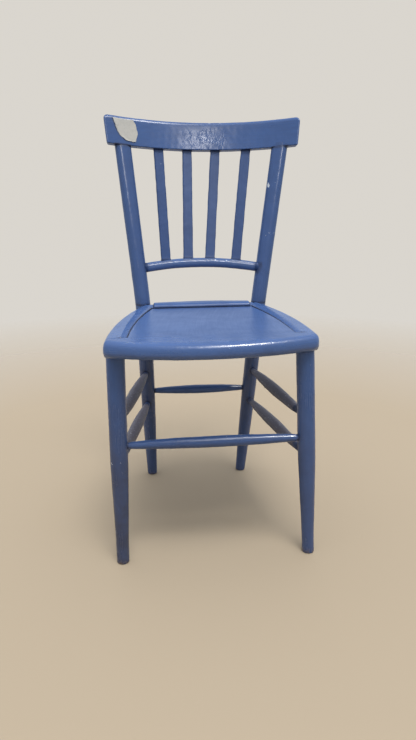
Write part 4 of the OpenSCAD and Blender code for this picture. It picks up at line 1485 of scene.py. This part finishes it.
class CHAIR_OT_seat_sides(bpy.types.Operator):
    """Side rails of the seat: flat on top, with a band that slopes down to the panel, round to the back"""

    bl_idname = "chair.seat_sides"
    bl_label = "Seat Side Rails"

    def execute(self, context):
        c, look = chair_settings(context)
        corner = back_corner(c)
        start = c.panel_front + JOINT_GAP
        joint = start + np.array([0.0, 0.0004, 0.0009, 0.0015, 0.0024])
        y = np.concatenate([joint, np.linspace(start + 0.004, corner[0, 1], 120)])
        side = np.stack([seat_side(c, y), y], -1)
        end_x = np.linspace(corner[-1, 0], RAIL_JOINT_X, 10)[1:]
        outer = np.concatenate([side, corner[1:], np.stack([end_x, back_edge(c, end_x)], -1)])
        inner_y = start + (y - start) * (c.panel_back - start) / (corner[0, 1] - start)
        inner = np.stack([panel_side(c, inner_y), inner_y], -1)
        rest = len(outer) - len(inner)
        last_x = np.linspace(inner[-1, 0], RAIL_JOINT_X, rest + 1)[1:]
        inner = np.concatenate([inner, np.stack([last_x, np.full(rest, c.panel_back)], -1)])
        width = np.linalg.norm(inner - outer, axis=1)
        lip, top = lip_and_top(c, outer, np.zeros(len(outer)))
        band = band_side(c, inner[:, 1]) - panel_side(c, inner[:, 1])
        band = np.minimum(band, width - FLAT_LEAST)
        flat_run = mix(top[0][:, -1:], (width - band)[:, None], np.linspace(0.0, 1.0, 8)[None, 1:])
        slope_t = np.linspace(0.0, 1.0, 14)[None, 1:]
        slope_run = mix(flat_run[:, -1:], width[:, None], slope_t)
        flat_t = flat_run / width[:, None]
        flat_z = seat_level(c, mix(outer[:, 1:], inner[:, 1:], flat_t))
        slope_z = seat_level(c, inner[:, 1:]) - BAND_DROP * smooth_start(slope_t)
        # The inner edge drops a little where the rail starts, so that the joint shows as a small step
        closed = np.concatenate([smooth((y - start) / JOINT_EASE), np.ones(rest)])[:, None]
        near_band = smooth((STEP_OUT - mix(outer[:, :1], inner[:, :1], flat_t)) / STEP_FADE)
        flat_z = flat_z - JOINT_STEP * (1.0 - closed) * near_band
        slope_z = slope_z - JOINT_STEP * (1.0 - closed)
        parts = [lip, top, (flat_run, flat_z), (slope_run, slope_z)]
        ledge = unit(inner - outer) * LEDGE_W
        for side_name, s in SIDES.items():
            flip = np.array([s, 1.0])
            rings = seat_rings(c, outer * flip, inner * flip, ledge * flip, parts)
            rings = soften(rings, look.lump, 100 + s, points_of(parts) - 3)
            joints = [mask(c, rings) for mask in (panel_gap_mask, front_step_mask, back_joint_mask)]
            masks = {"edge": under_edge(rings), "grime_and_shade": np.maximum.reduce(joints)}
            put_piece(f"seat_rail_{side_name}", rings, f"seat_side_rail_{side_name}", masks)
        return {"FINISHED"}


def smooth_start(t):
    """A slope that starts softly: t^1.25, held below 1."""
    return np.clip(t, 0.0, 1.0) ** 1.25


def panel_gap_mask(c, points):
    """Grime and painted shade in the gap round the panel's sides and back."""
    x, y = plan_of(points)
    side = panel_side(c, np.clip(y, c.panel_front, c.panel_back))
    beside = fringe(np.abs(np.abs(x) - side - 0.0004) - 0.0006, 0.0012)
    beside = beside * smooth((y - c.panel_front) / 0.004) * (y < c.panel_back + 0.003)
    behind = fringe(np.abs(y - c.panel_back) - 0.0006, 0.0016) * (np.abs(x) < RAIL_JOINT_X + 0.006)
    return np.maximum(beside, behind) * fringe(points[..., 2] - panel_level(c, y), 0.0022)


def back_joint_mask(c, points):
    """Grime in the joints between the back rail and the side rails."""
    x, y = plan_of(points)
    return bell(np.abs(x) - RAIL_JOINT_X, 0.0012) * (y > c.panel_back - 0.002)


class CHAIR_OT_seat_back(bpy.types.Operator):
    """Back rail of the seat: raised and rounded from front to back, with eased ends"""

    bl_idname = "chair.seat_back"
    bl_label = "Seat Back Rail"

    def execute(self, context):
        c, look = chair_settings(context)
        from_end = np.concatenate([round_steps(BACK_EASE, 5), np.arange(0.004, RAIL_JOINT_X, BACK_STEP)])
        x = np.concatenate([from_end - RAIL_JOINT_X, (RAIL_JOINT_X - from_end)[::-1]])
        drop = quarter_round(RAIL_JOINT_X - np.abs(x), BACK_EASE)
        outer = np.stack([x, back_edge(c, x)], -1)
        inner = np.stack([x, np.full(len(x), c.panel_back + BACK_GAP)], -1)
        width = (outer[:, 1] - inner[:, 1])[:, None]
        crown = (c.seat_top + c.crown - drop)[:, None]
        still = np.zeros(len(x))
        low_run, low_rise = superround(still + BACK_LIP_REACH, still + BACK_LIP_RISE, still + 2.0, 7)
        lip = (low_run[:, ::-1], SEAT_UNDER + BACK_LIP_RISE - low_rise[:, ::-1])
        run, rise = superround(still + BACK_TOP_REACH, still + BACK_TOP_RISE, still + BACK_POWER, 14)
        top = (run, crown - BACK_TOP_RISE + rise)
        run, rise = superround(still + BACK_FRONT_REACH, still + BACK_FRONT_FALL, still + BACK_POWER, 14)
        front = (width - run[:, ::-1], crown - BACK_FRONT_FALL + rise[:, ::-1])
        middle = mix(top[0][:, -1:], width - BACK_FRONT_REACH, np.linspace(0.0, 1.0, 8)[None, 1:-1])
        parts = [lip, top, (middle, np.broadcast_to(crown, middle.shape)), front]
        rings = seat_rings(c, outer, inner, np.array([0.0, -LEDGE_W]), parts)
        rings = soften(rings, look.lump, 110, points_of(parts) - 3)
        masks = {
            "edge": under_edge(rings),
            "grime_and_shade": np.maximum(panel_gap_mask(c, rings), back_joint_mask(c, rings)),
            "dull": 0.4,
            "shine": -0.4,
        }
        put_piece("seat_rail_back", rings, "seat_back_rail", masks)
        return {"FINISHED"}


class CHAIR_OT_seat_panel(bpy.types.Operator):
    """Seat panel: a thin sheet, a little dished, rounded at its sides and back, level with the front rail"""

    bl_idname = "chair.seat_panel"
    bl_label = "Seat Panel"

    def execute(self, context):
        c, look = chair_settings(context)
        back = c.panel_back - PANEL_GAP
        lip = round_steps(PANEL_EASE, 7)
        from_back = np.concatenate([lip, np.arange(0.0045, back - c.panel_front, PANEL_STEP)])
        y = np.concatenate([[c.panel_front], (back - from_back)[::-1]])
        half = panel_side(c, y) - PANEL_GAP
        flat = np.linspace(0.0, 1.0, 60)[None, :] * (half - lip[-1])[:, None]
        rim = half[:, None] - lip[::-1][None, 1:]
        right = np.concatenate([flat, rim], 1)
        x = np.concatenate([-right[:, :0:-1], right], 1)
        from_side = half[:, None] - np.abs(x)
        sunk = PANEL_SUNK * smooth((y - c.panel_front) / 0.05)[:, None]
        along = np.sin(math.pi * np.clip(y / back, 0.0, 1.0))[:, None]
        dish = PANEL_DISH * (1.0 - (x / half[:, None]) ** 2) * along
        drop = quarter_round(from_side, PANEL_EASE) * smooth((y - c.panel_front) / 0.006)[:, None]
        drop = np.maximum(drop, quarter_round(back - y, PANEL_EASE)[:, None])
        level = panel_level(c, y)[:, None]
        z = level - sunk - dish - drop
        under_x = x[:, ::-4]
        under_z = np.broadcast_to(level - LEDGE_DROP, under_x.shape)
        all_x = np.concatenate([x, under_x], 1)
        all_z = np.concatenate([z, under_z], 1)
        px, py = racked(all_x, np.broadcast_to(y[:, None], all_x.shape))
        rings = from_feet(px, py, all_z)
        rings = soften(rings, 0.4 * look.lump, 120, x.shape[1])
        masks = {"edge": 0.0, "calm": 1.0, "dull": 0.4, "grime_and_shade": panel_gap_mask(c, rings)}
        put_piece("seat_panel_top", rings, "seat_panel", masks)
        return {"FINISHED"}


# ---- Label, dowels and screws ----

LABEL_HEIGHT = (0.009, 0.058)
# Height above the crest rail's lower edge, and distance across, of each border's corners
LABEL_LEFT = (
    (0.009, -0.161),
    (0.0105, -0.1765),
    (0.021, -0.190),
    (0.0335, -0.1970),
    (0.0475, -0.2015),
    (0.058, -0.2055),
)
LABEL_RIGHT = ((0.009, -0.155), (0.028, -0.150), (0.0475, -0.154), (0.058, -0.1605))
PAPER_T = 0.00022


def label_side(height, side):
    """The label's left or right border at a height above the crest rail's lower edge."""
    at, x = zip(*side)
    return np.interp(height, at, x)


def label_rim(x, height):
    """Dark line of glue and shadow on the crest rail along the label's left border."""
    inside = (height > LABEL_HEIGHT[0] - 0.003) & (height < LABEL_HEIGHT[1] + 0.001)
    return 0.8 * bell(x - label_side(height, LABEL_LEFT) + 0.0008, 0.0016) * inside


class CHAIR_OT_label(bpy.types.Operator):
    """Torn bare remnant of a paper label on the crest rail's front, lifting a little along its sides"""

    bl_idname = "chair.label"
    bl_label = "Label Remnant"

    def execute(self, context):
        c = context.scene.chair_sizes
        height = np.linspace(*LABEL_HEIGHT, 64)
        line = np.stack([height, 0 * height, 0 * height], -1)
        left = label_side(height, LABEL_LEFT) + 0.0005 * waves(line, 0.006, 130)
        right = label_side(height, LABEL_RIGHT) + 0.0004 * waves(line, 0.006, 131)
        t = np.linspace(0.0, 1.0, 48)
        x = mix(left[:, None], right[:, None], t[None, :])
        high = np.broadcast_to(height[:, None], x.shape)
        p = np.stack([x, 0 * x, high], -1)
        near_left = x - left[:, None]
        near_right = right[:, None] - x
        curl = 0.0009 * bell(near_left, 0.005) + 0.0006 * bell(near_right, 0.004)
        curl = curl * (0.6 + 0.6 * waves(p, 0.025, 132)).clip(0.1)
        lift = curl + 0.00025 + 0.00010 * waves(p, 0.008, 133)
        rings = []
        turned = quarter_round(c.crest_h - high, CREST_ROUND["front"])
        for off, order in ((lift + PAPER_T, slice(None)), (lift, slice(None, None, -1))):
            arc_r = c.crest_bend - c.crest_t / 2 - off + turned
            y = np.sqrt(arc_r**2 - x**2) - bend_to_posts(c)
            rings.append(crest_point(c, x, y, high)[:, order])
        # Painted shadow along the torn left, right and lower edges, strongest on the left.
        rim = np.maximum(bell(near_left, 0.0011), 0.5 * bell(near_right, 0.0007))
        rim = np.maximum(rim, 0.6 * bell(high - LABEL_HEIGHT[0], 0.0009))
        masks = {"edge": np.concatenate([rim, rim[:, ::-1]], 1)}
        both = np.concatenate(rings, 1)
        put_piece("label_paper", both, "label_remnant", masks, "torn_paper", torn_paper())
        return {"FINISHED"}


class CHAIR_OT_hardware(bpy.types.Operator):
    """Finishes of the frame's own dowels and screws, which keep their shape"""

    bl_idname = "chair.hardware"
    bl_label = "Dowels and Screws"

    def execute(self, context):
        for node, material in (("seat_dowels", dowel_wood()), ("post_screws", screw_steel())):
            mesh = frame["nodes"][node].data
            mesh.materials.clear()
            mesh.materials.append(material)
        return {"FINISHED"}


# ---- Stage ----

LAMP_AIM = (0.0, 0.2, 0.84)
LAMP_AWAY = 1.8
CAMERA_PLACE = (-0.116, -1.016, 0.666)
SENSOR_W = 36.0
FLOOR_REACH = 14.0
WARM = (1.0, 0.98, 0.95)


def stage_material(look):
    """Pale floor: plain colour with the faintest unevenness, which clears to the backdrop further out."""
    material, t, shader, place, _ = new_material("plain floor")
    cloud = t.noise(place, 0.8, 2.0, 0.5)
    darker = rgba([0.93 * v for v in look.floor])
    shade = t.blend(t.span(cloud, 0.3, 0.7, 0.0, 0.15), rgba(look.floor), darker)
    t.link(shade, shader.inputs["Base Color"])
    shader.inputs["Roughness"].default_value = 0.75
    shader.inputs["Specular IOR Level"].default_value = 0.2
    out = t.add("ShaderNodeVectorMath", {0: place}, operation="LENGTH").outputs["Value"]
    clear = t.add("ShaderNodeBsdfTransparent").outputs[0]
    fade = t.add("ShaderNodeMixShader", {0: t.span(out, 0.9, 2.6), 1: shader.outputs[0], 2: clear})
    t.link(fade.outputs[0], material.node_tree.nodes["Material Output"].inputs["Surface"])
    return material


def stage_world(look):
    """Soft light that grows to the zenith, with a pale backdrop for the camera and a cooler one for gloss."""
    world = bpy.data.worlds.new("soft studio")
    world.use_nodes = True
    t = Tree(world.node_tree)
    ray = t.add("ShaderNodeLightPath").outputs
    glossy = ray["Is Glossy Ray"]
    straight = t.maths("MAXIMUM", ray["Is Camera Ray"], ray["Is Transmission Ray"])
    seen = t.maths("MAXIMUM", straight, glossy)
    up = t.add("ShaderNodeSeparateXYZ", {0: t.add("ShaderNodeTexCoord").outputs["Generated"]}).outputs["Z"]
    soft = t.span(up, 0.0, 1.0, look.horizon, look.zenith)
    background = world.node_tree.nodes["Background"]
    tint = t.blend(glossy, (0.95, 0.97, 1.0, 1.0), rgba(look.sheen))
    t.link(t.blend(straight, tint, rgba(look.backdrop)), background.inputs["Color"])
    strength = t.add("ShaderNodeMix", {0: seen, 2: soft, 3: 1.0}, data_type="FLOAT").outputs[0]
    t.link(strength, background.inputs["Strength"])
    bpy.context.scene.world = world


def add_lamp(name, kind, up, turn, strength, tint, **settings):
    """A lamp that faces the chair's back, at angles up from the level and right from the front."""
    data = bpy.data.lights.new(name, kind)
    data.energy = strength
    data.color = tint
    for key, value in settings.items():
        setattr(data, key, value)
    lamp = bpy.data.objects.new(name, data)
    bpy.context.scene.collection.objects.link(lamp)
    away = (math.cos(up) * math.sin(turn), -math.cos(up) * math.cos(turn), math.sin(up))
    lamp.location = np.array(LAMP_AIM) + LAMP_AWAY * np.array(away)
    lamp.rotation_euler = (QUARTER_TURN - up, 0.0, turn)
    return lamp


class CHAIR_OT_stage(bpy.types.Operator):
    """Plain pale floor, soft lamps and the camera"""

    bl_idname = "chair.stage"
    bl_label = "Stage"

    def execute(self, context):
        look = context.scene.chair_stage
        mesh = bpy.data.meshes.new("floor")
        signs = ((-1, -1), (1, -1), (1, 1), (-1, 1))
        mesh.from_pydata([(FLOOR_REACH * x, FLOOR_REACH * y, 0.0) for x, y in signs], [], [(0, 1, 2, 3)])
        mesh.materials.append(stage_material(look))
        floor = bpy.data.objects.new("floor", mesh)
        context.scene.collection.objects.link(floor)
        stage_world(look)
        disc = {"angle": math.radians(24.0)}
        key = add_lamp("key", "SUN", look.key_up, look.key_turn, look.key, WARM, **disc)
        key.visible_glossy = False
        disc = {"angle": math.radians(5.0)}
        glint = add_lamp("glint", "SUN", look.glint_up, look.glint_turn, look.glint, WARM, **disc)
        glint.visible_diffuse = False
        shape = {"shape": "RECTANGLE", "size": 0.10, "size_y": 0.50}
        strip = add_lamp("strip", "AREA", look.strip_up, look.strip_turn, look.strip, WARM, **shape)
        strip.visible_diffuse = False
        data = bpy.data.cameras.new("camera")
        data.sensor_width = SENSOR_W
        data.lens = look.focal / MM
        camera = bpy.data.objects.new("camera", data)
        context.scene.collection.objects.link(camera)
        camera.location = from_feet(*CAMERA_PLACE)
        camera.rotation_euler = (QUARTER_TURN - look.pitch, 0.0, -look.heading)
        context.scene.camera = camera
        context.scene.view_settings.view_transform = "Standard"
        return {"FINISHED"}


# ---- Add-on ----

STEPS = (
    CHAIR_OT_stage,
    CHAIR_OT_front_legs,
    CHAIR_OT_back_posts,
    CHAIR_OT_stretchers,
    CHAIR_OT_crest_rail,
    CHAIR_OT_slats,
    CHAIR_OT_lower_rail,
    CHAIR_OT_seat_front,
    CHAIR_OT_seat_sides,
    CHAIR_OT_seat_back,
    CHAIR_OT_seat_panel,
    CHAIR_OT_label,
    CHAIR_OT_hardware,
)


class CHAIR_PT_panel(bpy.types.Panel):
    """Lists the chair's pieces and main settings"""

    bl_idname = "CHAIR_PT_panel"
    bl_label = "Old Painted Chair"
    bl_space_type = "VIEW_3D"
    bl_region_type = "UI"
    bl_category = "Chair"

    def draw(self, context):
        for step in STEPS:
            self.layout.operator(step.bl_idname)
        for group in (context.scene.chair_paint, context.scene.chair_stage, context.scene.chair_sizes):
            box = self.layout.box()
            for key in group.bl_rna.properties.keys():
                if key not in {"rna_type", "name"}:
                    box.prop(group, key)


GROUPS = {"chair_sizes": ChairSizes, "chair_paint": ChairPaint, "chair_stage": ChairStage}


def register():
    """Registers the classes and gives the scene its settings."""
    for kind in (*GROUPS.values(), *STEPS, CHAIR_PT_panel):
        bpy.utils.register_class(kind)
    for key, kind in GROUPS.items():
        setattr(bpy.types.Scene, key, bpy.props.PointerProperty(type=kind))


def unregister():
    """Takes the settings and the classes away again."""
    for key in GROUPS:
        delattr(bpy.types.Scene, key)
    for kind in reversed((*GROUPS.values(), *STEPS, CHAIR_PT_panel)):
        bpy.utils.unregister_class(kind)


def main():
    register()
    for step in STEPS:
        group, name = step.bl_idname.split(".")
        getattr(getattr(bpy.ops, group), name)()


if __name__ == "__main__":
    main()
